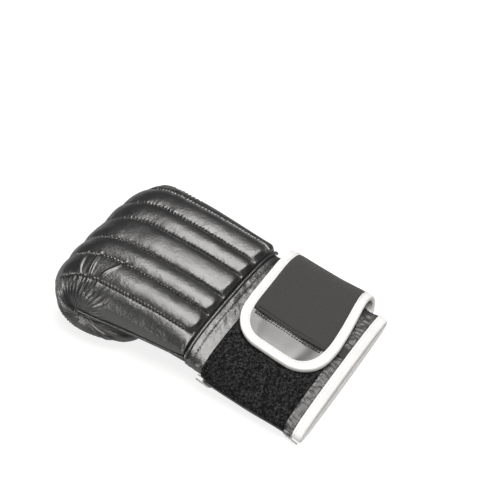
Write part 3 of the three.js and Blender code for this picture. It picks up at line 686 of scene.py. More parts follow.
def cuff_point(s, angle, y, offset=0.0):
    """A point of the cuff: a flattened superellipse whose halves rise and fall from the side seams. Angle 0
    is the thumb side and a quarter turn is the top; offset moves it out along the normal, or in by
    shrinking it."""
    angle, y, offset = np.broadcast_arrays(*(np.asarray(v, float) for v in (angle, y, offset)))
    along = np.clip(-y / s.cuff_length, 0, 1)
    heights = (column(CUFF_SECTIONS, "along", along, k) for k in ("side", "top", "bottom"))
    side, top, bottom = (share * s.cuff_top for share in heights)
    half = column(CUFF_SECTIONS, "along", along, "width") * s.cuff_width / 2
    inset = np.minimum(offset, 0)
    shift = s.fist_width * 0.01 * (1 - along)

    def at(a):
        rise = np.where(np.sin(a) > 0, top - side, side - bottom) + inset
        x = (half + inset) * signed_power(np.cos(a), 2 / 2.6) + shift
        return np.stack([x, y, side + rise * signed_power(np.sin(a), 2 / 2.6)], axis=-1)

    tangent = at(angle + 0.06) - at(angle - 0.06)
    normal = np.stack([tangent[..., 2], 0 * y, -tangent[..., 0]], axis=-1)
    normal /= np.linalg.norm(normal, axis=-1, keepdims=True)
    return at(angle) + normal * np.maximum(offset, 0)[..., None]


def even_angles(s, start, end, count, y, offset=0.0):
    """Angles between two, in turns of pi, whose points on the cuff are evenly spaced."""
    fine = np.linspace(start * np.pi, end * np.pi, 1200)
    run = arc_length(cuff_point(s, fine, y, offset)[:, None])[:, 0]
    return np.interp(np.linspace(0, run[-1], count), run, fine)


def strap_point(s, along, y, offset=0.0):
    """A point of the strap's middle surface, moved out by offset: it follows the cuff at its seat, stands
    off where it bends round the thumb side, and rises over the loop panel. along runs from 0 at its sewn
    end to 1 at the tab."""
    along, y, offset = np.broadcast_arrays(*(np.asarray(v, float) for v in (along, y, offset)))
    turns = lerp(STRAP_START, STRAP_TAB, along)
    bend = smooth((turns - 1.84) / 0.24) * (1 - smooth((turns - 2.1) / 0.44))
    over_loop = smooth((turns - 2.08) / 0.22) * (s.loop_thickness + s.gap)
    lift = s.strap_seat + s.strap_standoff * bend + over_loop + offset
    slant = s.strap_skew * (1 - smooth(along * 2))
    drawn = s.strap_middle + (y - s.strap_middle) * (1 - 0.07 * bend) + s.strap_width * 0.035 * bend
    return cuff_point(s, turns * np.pi, drawn - slant, lift)


def tab_stretch(s):
    """Millimetres of strap in one whole step of along, at its tab."""
    ends = strap_point(s, np.array([0.99, 1.0]), s.strap_middle)
    return float(np.linalg.norm(ends[1] - ends[0])) * 100


def strap_half(s, along):
    """Half the strap's width: full, then drawn in on a quarter ellipse round the tab's corners."""
    t = np.clip(1 - (1 - along) / 0.085, 0, 1)
    return s.strap_width / 2 - s.strap_corner * (1 - np.sqrt(1 - t**2))


def strap_stops(count=230):
    """Places along the strap, closer together round the tab."""
    straight = np.linspace(0, 0.9, count - 40)
    return np.concatenate([straight[:-1], 0.9 + 0.1 * np.sin(np.pi / 2 * np.linspace(0, 1, 41))])


def cuff_wrinkles(s, points, y):
    """Wrinkles of the cuff's leather: puffs beside the pad's seam, crimps across the strip by the binding,
    a roll that dips and rises there by straight steps, and soft noise all over."""
    near_seam = smooth((y + 18) / 5) * smooth((-y - 1) / 3)
    near_end = smooth((-y - 97) / 3) * smooth((y + 108.5) / 3)
    puffs = noise(points, np.array([5.0, 3.5, 5.0]), s.seed + 11)
    crimps = noise(points, np.array([1.9, 5.0, 1.9]), s.seed + 12)
    soft = noise(points, 22.0, s.seed + 13)
    creases = noise(points, np.array([14.0, 4.0, 14.0]), s.seed + 14)
    seam_side = (0.4 * puffs + 0.3 * creases) * near_seam
    roll = np.interp(-y, [92, 98, 105, 107], [0, -0.9, 0.9, 0])
    return seam_side + 0.95 * crimps * near_end + roll + 0.3 * soft * smooth((-y - 2) / 6)


class GLOVE_OT_cuff(Operator):
    """Build the leather cuff, its topstitching and the piping at the pad"""

    bl_idname = "glove.cuff"
    bl_label = "Cuff"

    def execute(self, context):
        s = millimetres(context)
        looks = finishes(context)
        angle = even_angles(s, 0, 2, 541, EVEN_Y)[:-1]
        y = -np.concatenate([
            [s.gap, 0.8], np.linspace(1.5, 18, 34), np.linspace(19, 96, 60),
            np.linspace(97, s.cuff_length, 34),
        ])
        grid_y, grid_angle = np.broadcast_arrays(y[:, None], angle[None, :])
        outer = cuff_point(s, grid_angle, grid_y)
        out = outer - cuff_point(s, grid_angle, grid_y, -1.0)
        out[..., 1] = 0
        out /= np.linalg.norm(out, axis=-1, keepdims=True)
        groove = 0.45 * np.exp(-(((grid_y - TOPSTITCH_Y) / 0.9) ** 2)) * smooth(np.sin(grid_angle) * 3)
        wrinkled = cuff_wrinkles(s, outer, grid_y) * 0.8 - groove - 0.35
        outer = outer + out * wrinkled[..., None]
        inner = cuff_point(s, angle[None, :], np.linspace(-s.cuff_length, -s.gap, 40)[:, None], -s.leather)
        rings = np.concatenate([outer, inner], axis=0)
        faces = grid_faces(*rings.shape[:2], close_rows=True, close_columns=True)
        cuff = new_piece("cuff_leather", rings, faces, finish=looks.cuff)
        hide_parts("cuff")

        turns = even_angles(s, 0.04, 0.96, 220, TOPSTITCH_Y)
        stitched = cuff_point(s, turns, TOPSTITCH_Y)
        away = cuff_point(s, turns, TOPSTITCH_Y, 1.0) - stitched
        rows = [stitch_row(stitched - 0.1 * away, away, **STITCHES["cuff"])]
        thread = thread_piece("cuff_topstitch", rows, looks.thread)

        turns = even_angles(s, 0.045, 0.955, 160, -2.4)
        centre = cuff_point(s, turns, -s.gap * 2 - PIPING_RADIUS, PIPING_RADIUS + s.gap - 0.3)
        away = centre - cuff_point(s, turns, centre[:, 1])
        rings = tube_rings(centre, away, PIPING_RADIUS, sides=16)
        piping = skin_piece("wrist_piping_roll", rings, finish=looks.cuff)
        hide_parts("wrist_piping")
        return {"FINISHED"}


class GLOVE_OT_cuff_binding(Operator):
    """Build the folded tape round the cuff's open end, with its stitches"""

    bl_idname = "glove.cuff_binding"
    bl_label = "Cuff binding"

    def execute(self, context):
        s = millimetres(context)
        looks = finishes(context)
        angle = even_angles(s, 0, 2, 421, -s.cuff_length)[:-1]
        wrap = s.gap + s.binding_wall
        end = -s.cuff_length - wrap
        edge = end + s.binding_width
        turn = np.linspace(0, np.pi, 9)
        lip_y = end + wrap * (1 - np.sin(turn))
        lip_offset = (s.leather / 2 + wrap) * np.cos(turn) - s.leather / 2
        outside_y = np.linspace(edge, -s.cuff_length, 9)[:-1]
        bulge = 0.25 * np.sin(np.pi * np.linspace(0, 1, 9)[:-1])
        profile_y = np.concatenate([[edge], outside_y, lip_y, outside_y[::-1], [edge]])
        profile_offset = np.concatenate([
            [s.gap], wrap + bulge, lip_offset, -s.leather - wrap - bulge[::-1] * 0.4, [-s.leather - s.gap],
        ])
        y, around = np.broadcast_arrays(profile_y[:, None], angle[None, :])
        offset = np.broadcast_to(profile_offset[:, None], y.shape)
        puckers = 0.12 * np.cos(around * 95) * np.exp(-(((y - edge + 1.8) / 1.5) ** 2)) * (offset > 0.5)
        outer = cuff_point(s, around, y, np.maximum(offset + puckers, 0))
        inner = cuff_point(s, around, y, np.minimum(offset, 0))
        rings = np.where((offset >= 0)[..., None], outer, inner)
        slot = [cuff_point(s, angle, -s.cuff_length - s.gap, v) for v in (-s.leather - s.gap, s.gap)]
        rings = np.concatenate([rings, np.stack(slot)], axis=0)
        faces = grid_faces(*rings.shape[:2], close_rows=True, close_columns=True)
        binding = new_piece("cuff_binding_tape", rings, faces, finish=looks.binding)
        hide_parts("cuff_binding")

        seam_y = edge - 1.8
        path = cuff_point(s, angle, seam_y, wrap + 0.08)
        away = path - cuff_point(s, angle, seam_y)
        rows = [stitch_row(path, away, **STITCHES["edge"])]
        thread = thread_piece("cuff_binding_stitches", rows, looks.pale_thread)
        return {"FINISHED"}


def loops_on(points, out, count, height, thread, seed):
    """Small loops of pile on a grid: each is an arch of thin thread, half a turn of a cosine across by a
    sine up, in four rings of three points. It stands on a random place of the grid and is turned and leant
    at random. Returns points, faces and the ends' outlines."""
    random = np.random.default_rng(seed)
    rows, columns = points.shape[:2]
    r, c = random.uniform(1, rows - 2.001, count), random.uniform(1, columns - 2.001, count)
    i, j = r.astype(int), c.astype(int)
    fr, fc = (r - i)[:, None], (c - j)[:, None]
    left, right = (lerp(points[i, k], points[i + 1, k], fr) for k in (j, j + 1))
    foot = lerp(left, right, fc)
    up = out[i, j] + random.normal(0, 0.35, (count, 3))
    up /= np.linalg.norm(up, axis=1, keepdims=True)
    aside = np.cross(up, random.normal(0, 1, (count, 3)))
    aside /= np.linalg.norm(aside, axis=1, keepdims=True)
    across = np.cross(up, aside)
    arch = np.linspace(0, np.pi, 4)
    tall = random.uniform(0.6, 1.25, count)[:, None, None] * height
    wide = random.uniform(0.5, 1.0, count)[:, None, None] * height * 0.6
    spine = foot[:, None] + aside[:, None] * (np.cos(arch)[None, :, None] * wide)
    spine = spine + up[:, None] * (np.sin(arch)[None, :, None] * tall - 0.15)
    turn = np.linspace(0, 2 * np.pi, 3, endpoint=False)
    outward = aside[:, None] * np.cos(arch)[None, :, None] + up[:, None] * np.sin(arch)[None, :, None]
    ring = outward[:, :, None] * np.cos(turn)[None, None, :, None]
    ring = ring + across[:, None, None] * np.sin(turn)[None, None, :, None]
    made = spine[:, :, None] + ring * thread
    first = 12 * np.arange(count)[:, None, None]
    ends = (np.array([[2, 1, 0], [9, 10, 11]])[None] + first).reshape(-1, 3)
    return made.reshape(-1, 3), (grid_faces(4, 3, close_columns=True)[None] + first).reshape(-1, 4), ends


class GLOVE_OT_loop_panel(Operator):
    """Build the loop half of the fastening, with its pile"""

    bl_idname = "glove.loop_panel"
    bl_label = "Loop panel"

    def execute(self, context):
        s = millimetres(context)
        looks = finishes(context)
        rows, columns = np.arange(150), np.arange(110)
        angle = even_angles(s, LOOP_FROM, LOOP_TO, len(rows), EVEN_Y)
        y = np.linspace(s.strap_middle - s.loop_width / 2, s.strap_middle + s.loop_width / 2, len(columns))
        grid_angle, grid_y = np.broadcast_arrays(angle[:, None], y[None, :])
        rim = np.minimum.outer(np.minimum(rows, rows[::-1]), np.minimum(columns, columns[::-1]))
        top = s.gap + s.loop_thickness * (0.62 + 0.25 * smooth(rim / 3))
        outer = cuff_point(s, grid_angle, grid_y, top)
        tufts = 0.22 * noise(outer, 1.6, s.seed + 21) + 0.15 * noise(outer, 0.9, s.seed + 22)
        outer = cuff_point(s, grid_angle, grid_y, top + tufts * smooth(rim / 2))
        inner = cuff_point(s, angle[:, None], np.linspace(y[0], y[-1], 24)[None, :], s.gap)
        panel = skin_piece("loop_panel_base", slab_rings(outer, inner), finish=looks.pile)
        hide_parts("loop_panel")
        out = cuff_point(s, grid_angle, grid_y, top + 1) - cuff_point(s, grid_angle, grid_y, top)
        points, faces, ends = loops_on(outer, out, LOOP_COUNT, LOOP_HEIGHT, LOOP_THREAD, s.seed)
        fibres = new_piece("loop_panel_pile", points, faces, ends, finish=looks.pile_loops)
        return {"FINISHED"}


def band_grid(s, stops, half, columns, offset):
    """A grid of the strap's surface between two edges, out from its middle, with its cloth coordinates."""
    share = np.linspace(-1, 1, columns)
    along = np.broadcast_to(stops[:, None], (len(stops), columns))
    y = s.strap_middle + half[:, None] * share[None, :]
    points = strap_point(s, along, y, offset)
    middle = strap_point(s, stops, s.strap_middle)
    run = arc_length(middle[:, None])[:, 0]
    uv = np.stack([np.broadcast_to(run[:, None], y.shape), y], axis=-1)
    return points, uv


class GLOVE_OT_strap(Operator):
    """Build the wide wrist strap"""

    bl_idname = "glove.strap"
    bl_label = "Strap"

    def execute(self, context):
        s = millimetres(context)
        looks = finishes(context)
        stops = strap_stops()
        half = strap_half(s, stops)
        thick = s.leather / 2
        columns = 61
        plain, uv = band_grid(s, stops, half, columns, 0.0)
        soft = 0.35 * noise(plain, np.array([16.0, 24.0, 16.0]), s.seed + 31)
        share = np.linspace(-1, 1, columns)
        bow = 0.5 * np.cos(np.pi / 2 * share) * smooth((stops - 0.86) / 0.05)[:, None]
        edge = smooth((1 - np.abs(share)) / 0.2)
        dents = sum(depth * np.exp(-(((share - at) / wide) ** 2)) for at, wide, depth in TAB_DENTS)
        on_tab = smooth((stops - 0.905) / 0.03)
        swell = (soft + bow) * edge[None, :] * smooth((stops - 0.55) / 0.1)[:, None]
        swell -= dents[None, :] * on_tab[:, None] * edge[None, :]
        outer, _ = band_grid(s, stops, half, columns, thick + swell * 0.6)
        inner, _ = band_grid(s, stops, half, columns, -thick)
        strap = skin_piece("strap_vinyl", slab_rings(outer, inner), finish=looks.vinyl, uv=slab_rings(uv, uv))
        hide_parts("strap")
        return {"FINISHED"}


def binding_route(s):
    """The strap's edge from its sewn end round the tab and back, as places along and across it, evenly
    spaced, with the inward direction at each place."""
    stretch = tab_stretch(s)
    stops = strap_stops(400)
    half = strap_half(s, stops)
    tab = np.linspace(-1, 1, 40)[1:-1] * half[-1]
    along = np.concatenate([stops, np.ones_like(tab), stops[::-1]])
    across = np.concatenate([-half, tab, half[::-1]])
    flat = np.stack([along * stretch, across], axis=1)
    route = resample(flat, step=1.1)[0]
    route[0, 0] = route[-1, 0] = 1.5
    tangent = tangents(route)
    kernel = np.ones(5) / 5
    padded = np.pad(tangent, ((2, 2), (0, 0)), mode="edge")
    smoothed = np.stack([np.convolve(padded[:, k], kernel, mode="valid") for k in (0, 1)], axis=1)
    smoothed /= np.linalg.norm(smoothed, axis=1, keepdims=True)
    return route, np.stack([-smoothed[:, 1], smoothed[:, 0]], axis=1), stretch


def on_strap(s, route, inward, stretch, across, offset):
    """Points of the strap's surface a given way in from its edge and out from its middle."""
    at = route[:, None] + inward[:, None] * np.asarray(across, float)[None, :, None]
    lift = np.asarray(offset, float)[None, :]
    return strap_point(s, at[..., 0] / stretch, s.strap_middle + at[..., 1], lift)


class GLOVE_OT_strap_binding(Operator):
    """Build the folded tape round the strap's edge, with its stitches"""

    bl_idname = "glove.strap_binding"
    bl_label = "Strap binding"

    def execute(self, context):
        s = millimetres(context)
        looks = finishes(context)
        route, inward, stretch = binding_route(s)
        room = s.leather / 2 + s.gap
        out = room + s.binding_wall
        lip = -s.gap - s.binding_wall
        end = s.binding_width + lip
        turn = np.linspace(0, np.pi, 11)
        lip_across = lip + 1.0 - 1.0 * np.sin(turn)
        lip_out = out * np.cos(turn)
        face = np.linspace(end - 0.25, lip + 1.0, 8)[:-1]
        bulge = 0.28 * np.sin(np.pi * np.linspace(0, 1, 8)[:-1])
        across = np.concatenate([[end, end], face, lip_across, face[::-1], [end, end, -s.gap, -s.gap]])
        under = np.full(len(face), -out)
        offset = np.concatenate([
            [room, out - 0.3], out + bulge, lip_out, under, [-out + 0.3, -room, -room, room],
        ])
        rings = on_strap(s, route, inward, stretch, across, offset)
        run = arc_length(rings[:, [3]])[:, 0]
        out_way = rings[:, 4] - on_strap(s, route, inward, stretch, [4.0], [0.0])[:, 0]
        out_way /= np.linalg.norm(out_way, axis=1, keepdims=True)
        pucker = 0.1 * np.cos(2 * np.pi * run / 3.0)
        rings[:, 2:6] += out_way[:, None] * pucker[:, None, None]
        uv = np.stack(np.broadcast_arrays(run[:, None], across[None, :]), axis=-1)
        binding = skin_piece("strap_binding_tape", rings, finish=looks.binding, uv=uv)
        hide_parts("strap_binding")

        rows = []
        middle = on_strap(s, route, inward, stretch, [end - 1.7], [0.0])[:, 0]
        for lift in (out + 0.2, -out):
            path = on_strap(s, route, inward, stretch, [end - 1.7], [lift])[:, 0]
            rows.append(stitch_row(path, path - middle, **STITCHES["edge"]))
        thread = thread_piece("strap_binding_stitches", rows, looks.pale_thread)
        return {"FINISHED"}


class GLOVE_OT_elastic(Operator):
    """Build the ribbed elastic web on the strap and the stitching that holds its end"""

    bl_idname = "glove.elastic"
    bl_label = "Elastic web"

    def execute(self, context):
        s = millimetres(context)
        looks = finishes(context)
        first, last = ((v - STRAP_START) / (STRAP_TAB - STRAP_START) for v in (ELASTIC_FROM, ELASTIC_TO))
        stops = np.linspace(first, last, 110)
        half = np.full(len(stops), s.elastic_width / 2 + WEB_TUCK)
        columns = 290
        low = s.leather / 2 + s.gap
        plain, uv = band_grid(s, stops, half, columns, 0.0)
        ribs = 0.34 * np.abs(np.sin(np.pi * uv[..., 1] / WEB_RIB)) ** 0.7
        ease = 0.5 * noise(plain, np.array([14.0, 30.0, 14.0]), s.seed + 41)
        edge = smooth((1 - np.abs(np.linspace(-1, 1, columns))) / 0.1)[None, :]
        outer, _ = band_grid(s, stops, half, columns, low + 0.75 + ribs + (0.35 + ease) * edge)
        inner, under_uv = band_grid(s, stops, half, 60, low)
        cloth = slab_rings(uv, under_uv)
        web = skin_piece("elastic_web", slab_rings(outer, inner), finish=looks.web, uv=cloth)
        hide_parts("elastic_band")

        stretch = tab_stretch(s)
        rows = []
        y = s.strap_middle + np.linspace(-1, 1, 60) * (s.elastic_width / 2 - 0.8)
        for shift, lift in ((-1.2, low + 1.4), (0.35, low + 0.3), (1.25, low + 0.1)):
            at = np.full(len(y), last + shift / stretch)
            path = strap_point(s, at, y, lift)
            rows.append(stitch_row(path, path - strap_point(s, at, y), **STITCHES["web end"]))
        thread = thread_piece("elastic_end_stitches", rows, looks.thread)
        return {"FINISHED"}


class GLOVE_OT_size_tab(Operator):
    """Build the small bare woven tab by the cuff's binding"""

    bl_idname = "glove.size_tab"
    bl_label = "Size tab"

    def execute(self, context):
        s = millimetres(context)
        looks = finishes(context)
        start = -s.cuff_length + s.binding_width - s.binding_wall
        y = start + np.linspace(0, TAB_LENGTH, 24)
        angle = 0.46 * np.pi + np.linspace(-1, 1, 40) * TAB_WIDTH / s.cuff_width
        grid_y, grid_angle = np.broadcast_arrays(y[:, None], angle[None, :])
        rows = 0.05 * np.sin(2 * np.pi * grid_y / 0.9)
        lift = 0.45 * smooth((grid_y - start) / TAB_LENGTH) ** 2
        outer = cuff_point(s, grid_angle, grid_y, s.gap + 0.75 + rows + lift * 0.4)
        inner = cuff_point(s, grid_angle, grid_y, s.gap + lift * 0.3)
        uv = np.stack([grid_y, grid_angle * s.cuff_width / 2], axis=-1)
        tab = skin_piece("size_tab_woven", slab_rings(outer, inner), finish=looks.web, uv=slab_rings(uv, uv))
        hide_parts("size_tab")
        return {"FINISHED"}


def belly(s, x, y):
    """How far the palm leather hangs below the side seams: deep at the wrist, soon level by the thumb."""
    half = s.wrist_width / 2
    thumb_side = smooth((x / half - 0.35) / 0.3)
    reach = lerp(s.belly_length, s.belly_length * 0.42, thumb_side)
    return s.belly_depth * (1 - smooth(y / reach)) * (1 - np.clip(np.abs(x / half), 0, 1) ** 4)


def palm_grid(s, place, columns, offset):
    """The palm leather's grid: from the cuff under the hand, round the hinge and back to the curled edge."""
    base, _ = pad_stations(s, place, offset)
    edges = pad_surface(s, place, np.broadcast_to([0.0, 1.0], (len(place), 2)), 0.0)[..., 0]
    x = lerp(edges[:, :1], edges[:, 1:], np.linspace(0, 1, columns)[None, :])
    y = np.broadcast_to(base[:, :1], x.shape)
    z = base[:, 1:] - np.where((place <= 1)[:, None], belly(s, x, y), 0)
    return np.stack([x, y, z], axis=-1)


def palm_height(s, x, y):
    """Height of the palm leather's middle over a point of the floor."""
    return seam_level(s, y) - belly(s, x, y)


def dart_x(y, side):
    """Where a side of the palm's dart runs: a straight line that leans out towards the wrist."""
    return side * (1.5 + (30 - y) * 0.22)


class GLOVE_OT_palm(Operator):
    """Build the thin, wrinkled palm leather with its dart and its hems"""

    bl_idname = "glove.palm"
    bl_label = "Palm"

    def execute(self, context):
        s = millimetres(context)
        looks = finishes(context)
        hand = np.linspace(0.15, s.hinge[0], 90)[:-1] / s.hinge[0]
        place = np.concatenate([hand, np.linspace(1, 2, 24)[:-1], np.linspace(2, 2.96, 40)])
        columns = 150
        middle = palm_grid(s, place, columns, 0.0)
        over = place[:, None] < 1.02
        share = np.linspace(0, 1, columns)
        margin = smooth(np.minimum(share, 1 - share) / 0.06)[None, :]
        folds = 0.5 * noise(middle, np.array([7.0, 16.0, 8.0]), s.seed + 51)
        folds = folds + 0.28 * noise(middle, np.array([4.0, 3.5, 4.0]), s.seed + 52)
        folds = np.where(over, folds * margin * smooth(place / 0.04)[:, None], 0)
        dart = np.minimum(*(np.abs(middle[..., 0] - dart_x(middle[..., 1], side)) for side in (-1, 1)))
        in_dart = over * (middle[..., 1] < 30)
        folds = folds + 0.5 * np.exp(-((dart / 0.8) ** 2)) * in_dart
        bottom = palm_grid(s, place, columns, -s.leather / 2 + 0.2)
        top = palm_grid(s, place, columns, s.leather / 2)
        bottom[..., 2] += folds
        panel = skin_piece("palm_leather", slab_rings(top, bottom), finish=looks.palm)
        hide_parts("palm_panel")

        rows = []
        for side in (-1, 1):
            for shift in (-1.3, 1.3):
                y = np.linspace(1, 28, 40)
                x = dart_x(y, side) + shift
                path = np.stack([x, y, palm_height(s, x, y) - s.leather / 2 - 0.1], axis=1)
                rows.append(stitch_row(path, np.tile(DOWN, (len(y), 1)), **STITCHES["palm"]))
        thread = thread_piece("palm_stitches", rows, looks.thread)

        for name, share in (("side_welt_finger", 0.0), ("side_welt_thumb", 1.0)):
            along = np.linspace(0.012, 1.0, 130)
            edge = pad_surface(s, along, np.full((len(along), 1), share), 0.0)[:, 0]
            way = np.tile([1.0 if share else -1.0, 0.0, 0.0], (len(along), 1))
            centre = edge + way * 0.5
            rings = tube_rings(centre, np.tile(UP, (len(along), 1)), WELT_RADIUS, sides=12, flat=0.95)
            welt = skin_piece(name, rings, finish=looks.leather)
            rows = [stitch_row(centre + way * 1.45 + [0, 0, 0.3], way, **STITCHES["edge"])]
            thread = thread_piece(name + "_stitches", rows, looks.thread)
        return {"FINISHED"}


class GLOVE_OT_thumb(Operator):
    """Build the flattened thumb with the double stitching round its base"""

    bl_idname = "glove.thumb"
    bl_label = "Thumb"

    def execute(self, context):
        s = millimetres(context)
        looks = finishes(context)
        tip_y = s.curl_edge_y - 2 * s.gap
        root_y = tip_y - s.thumb_length
        t = np.sin(np.pi / 2 * np.linspace(0, 1, 70))
        y = lerp(root_y, tip_y, t)
        blunt = np.sqrt(np.maximum(0.004, 1 - np.clip((y - tip_y + 12) / 12, 0, 1) ** 2))
        open_up = smooth((y - root_y + 6) / 20)
        turn = np.linspace(0, 2 * np.pi, 72, endpoint=False)
        width = (s.thumb_width / 2 * (0.3 + 0.7 * blunt))[:, None]
        middle_z = s.gap + s.thumb_thickness / 2 + 1.5
        x = s.thumb_x + width * signed_power(np.cos(turn), 0.85)[None, :]
        up = signed_power(np.sin(turn), 0.85)[None, :]
        height = s.thumb_thickness / 2 * (0.25 + 0.75 * blunt)[:, None]
        ceiling = palm_height(s, x, np.broadcast_to(y[:, None], x.shape)) - s.leather / 2 - s.gap
        z = middle_z + height * up
        z = np.where(up < 0, lerp(np.minimum(ceiling, middle_z), z, open_up[:, None]), z)
        z = np.minimum(z, ceiling)
        points = np.stack([x, np.broadcast_to(y[:, None], x.shape), z], axis=-1)
        folds = 0.35 * noise(points, np.array([6.0, 5.0, 6.0]), s.seed + 61)
        folds = folds + 0.3 * noise(points, 13.0, s.seed + 62)
        points[..., 2] += folds * np.where(up < 0, 1, 0) * smooth((y - root_y) / 6)[:, None]
        points[..., 2] = np.maximum(points[..., 2], 0.2)
        thumb = skin_piece("thumb_leather", points, finish=looks.palm)
        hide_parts("thumb")

        rows = []
        below = palm_height(s, s.thumb_x, 20.0)
        bend = np.linspace(-np.pi / 2, np.pi / 2, 60)
        for inset in (2.2, 4.6):
            x = s.thumb_x + (s.thumb_width / 2 - inset) * np.sin(bend)
            seam_y = root_y + 14 + (11 - inset) * -np.cos(bend) + 2
            nearest = np.argmin(np.abs(y[:, None] - seam_y[None, :]), axis=0)
            drop = np.sqrt(np.clip(1 - ((x - s.thumb_x) / (s.thumb_width / 2)) ** 2, 0, 1))
            low = middle_z - (s.thumb_thickness / 2) * drop * open_up[nearest]
            z = lerp(np.minimum(below, middle_z), low, open_up[nearest])
            path = np.stack([x, seam_y, np.maximum(z, 0.6)], axis=1)
            rows.append(stitch_row(path, np.tile(DOWN, (len(bend), 1)), **STITCHES["palm"]))
        thread = thread_piece("thumb_stitches", rows, looks.thread)
        return {"FINISHED"}


class GLOVE_OT_grip_bar(Operator):
    """Build the padded bar across the palm"""

    bl_idname = "glove.grip_bar"
    bl_label = "Grip bar"

    def execute(self, context):
        s = millimetres(context)
        looks = finishes(context)
        low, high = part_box("grip_bar")
        left, right = (low.x / MM - ORIGIN[0] / MM, high.x / MM - ORIGIN[0] / MM)
        radius = (high.y - low.y) / MM / 2
        y = (low.y + high.y) / MM / 2 - ORIGIN[1] / MM
        t = -np.cos(np.pi * np.linspace(0, 1, 120))
        x = lerp(left, right, 0.5 + 0.5 * t)
        size = radius * np.maximum(0.2, np.sqrt(np.maximum(0, 1 - t**6)))
        z = palm_height(s, x, y) - s.leather / 2 - s.gap - radius
        path = np.stack([x, np.full_like(x, y), z], axis=1)
        rings = tube_rings(path, np.tile(UP, (len(x), 1)), size, sides=48)
        out = rings - path[:, None]
        out /= np.linalg.norm(out, axis=-1, keepdims=True)
        rings = rings + out * (0.35 * noise(rings, np.array([3.2, 9.0, 9.0]), s.seed + 71) - 0.25)[..., None]
        ceiling = palm_height(s, rings[..., 0], rings[..., 1]) - s.leather / 2 - s.gap
        rings[..., 2] = np.minimum(rings[..., 2], ceiling)
        bar = skin_piece("grip_bar_roll", rings, finish=looks.leather)
        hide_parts("grip_bar")
        return {"FINISHED"}


class GLOVE_OT_eyelets(Operator):
    """Build the vent eyelets as turned metal rings"""

    bl_idname = "glove.eyelets"
    bl_label = "Vent eyelets"

    def execute(self, context):
        s = millimetres(context)
        looks = finishes(context)
        nodes = sorted(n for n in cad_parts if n.startswith("eyelet_"))
        bore, flange = EYELET_BORE, EYELET_FLANGE
        turn = np.linspace(-np.pi / 2, np.pi / 2, 9)
        rolled = lerp(bore, flange, 0.5 - 0.5 * np.cos(np.linspace(0, np.pi, 9)))
        reach = np.concatenate([[bore, bore], rolled, [flange - 0.3, bore + 0.6, bore + 0.6]])
        rise = np.concatenate([[1.0, -1.6], -1.75 - 0.65 * np.cos(turn), [-1.5, -1.5, 1.0]])
        points, faces, start = [], [], 0
        around = np.linspace(0, 2 * np.pi, 40, endpoint=False)
        flat = np.stack(np.broadcast_arrays(
            reach[:, None] * np.cos(around), reach[:, None] * np.sin(around), rise[:, None],
        ), axis=-1)
        for node in nodes:
            low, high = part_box(node)
            x, y = (((low + high) / 2)[k] / MM - ORIGIN[k] / MM for k in (0, 1))
            slope_x = palm_height(s, x - 1, y) - palm_height(s, x + 1, y)
            slope_y = palm_height(s, x, y - 1) - palm_height(s, x, y + 1)
            turned = Vector(UP).rotation_difference(Vector((slope_x, slope_y, 2))).to_matrix()
            placed = flat @ np.array(turned).T + [x, y, palm_height(s, x, y)]
            points.append(placed.reshape(-1, 3))
            faces.append(grid_faces(*flat.shape[:2], close_rows=True, close_columns=True, start=start))
            start += len(points[-1])
        rings = new_piece("vent_eyelets", np.concatenate(points), np.concatenate(faces), finish=looks.nickel)
        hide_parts(*nodes)
        return {"FINISHED"}


class Value:
    """A shader socket that can be added to, multiplied and so on; each operation adds one Math node."""

    def __init__(self, shader, socket):
        self.shader = shader
        self.socket = socket

    def maths(self, operation, a, b):
        """The result of one operation on two values."""
        return self.shader.node("Math", {"operation": operation}, {0: a, 1: b})

    def __add__(self, other):
        return self.maths("ADD", self, other)

    __radd__ = __add__

    def __sub__(self, other):
        return self.maths("SUBTRACT", self, other)

    def __rsub__(self, other):
        return self.maths("SUBTRACT", other, self)

    def __mul__(self, other):
        return self.maths("MULTIPLY", self, other)

    __rmul__ = __mul__


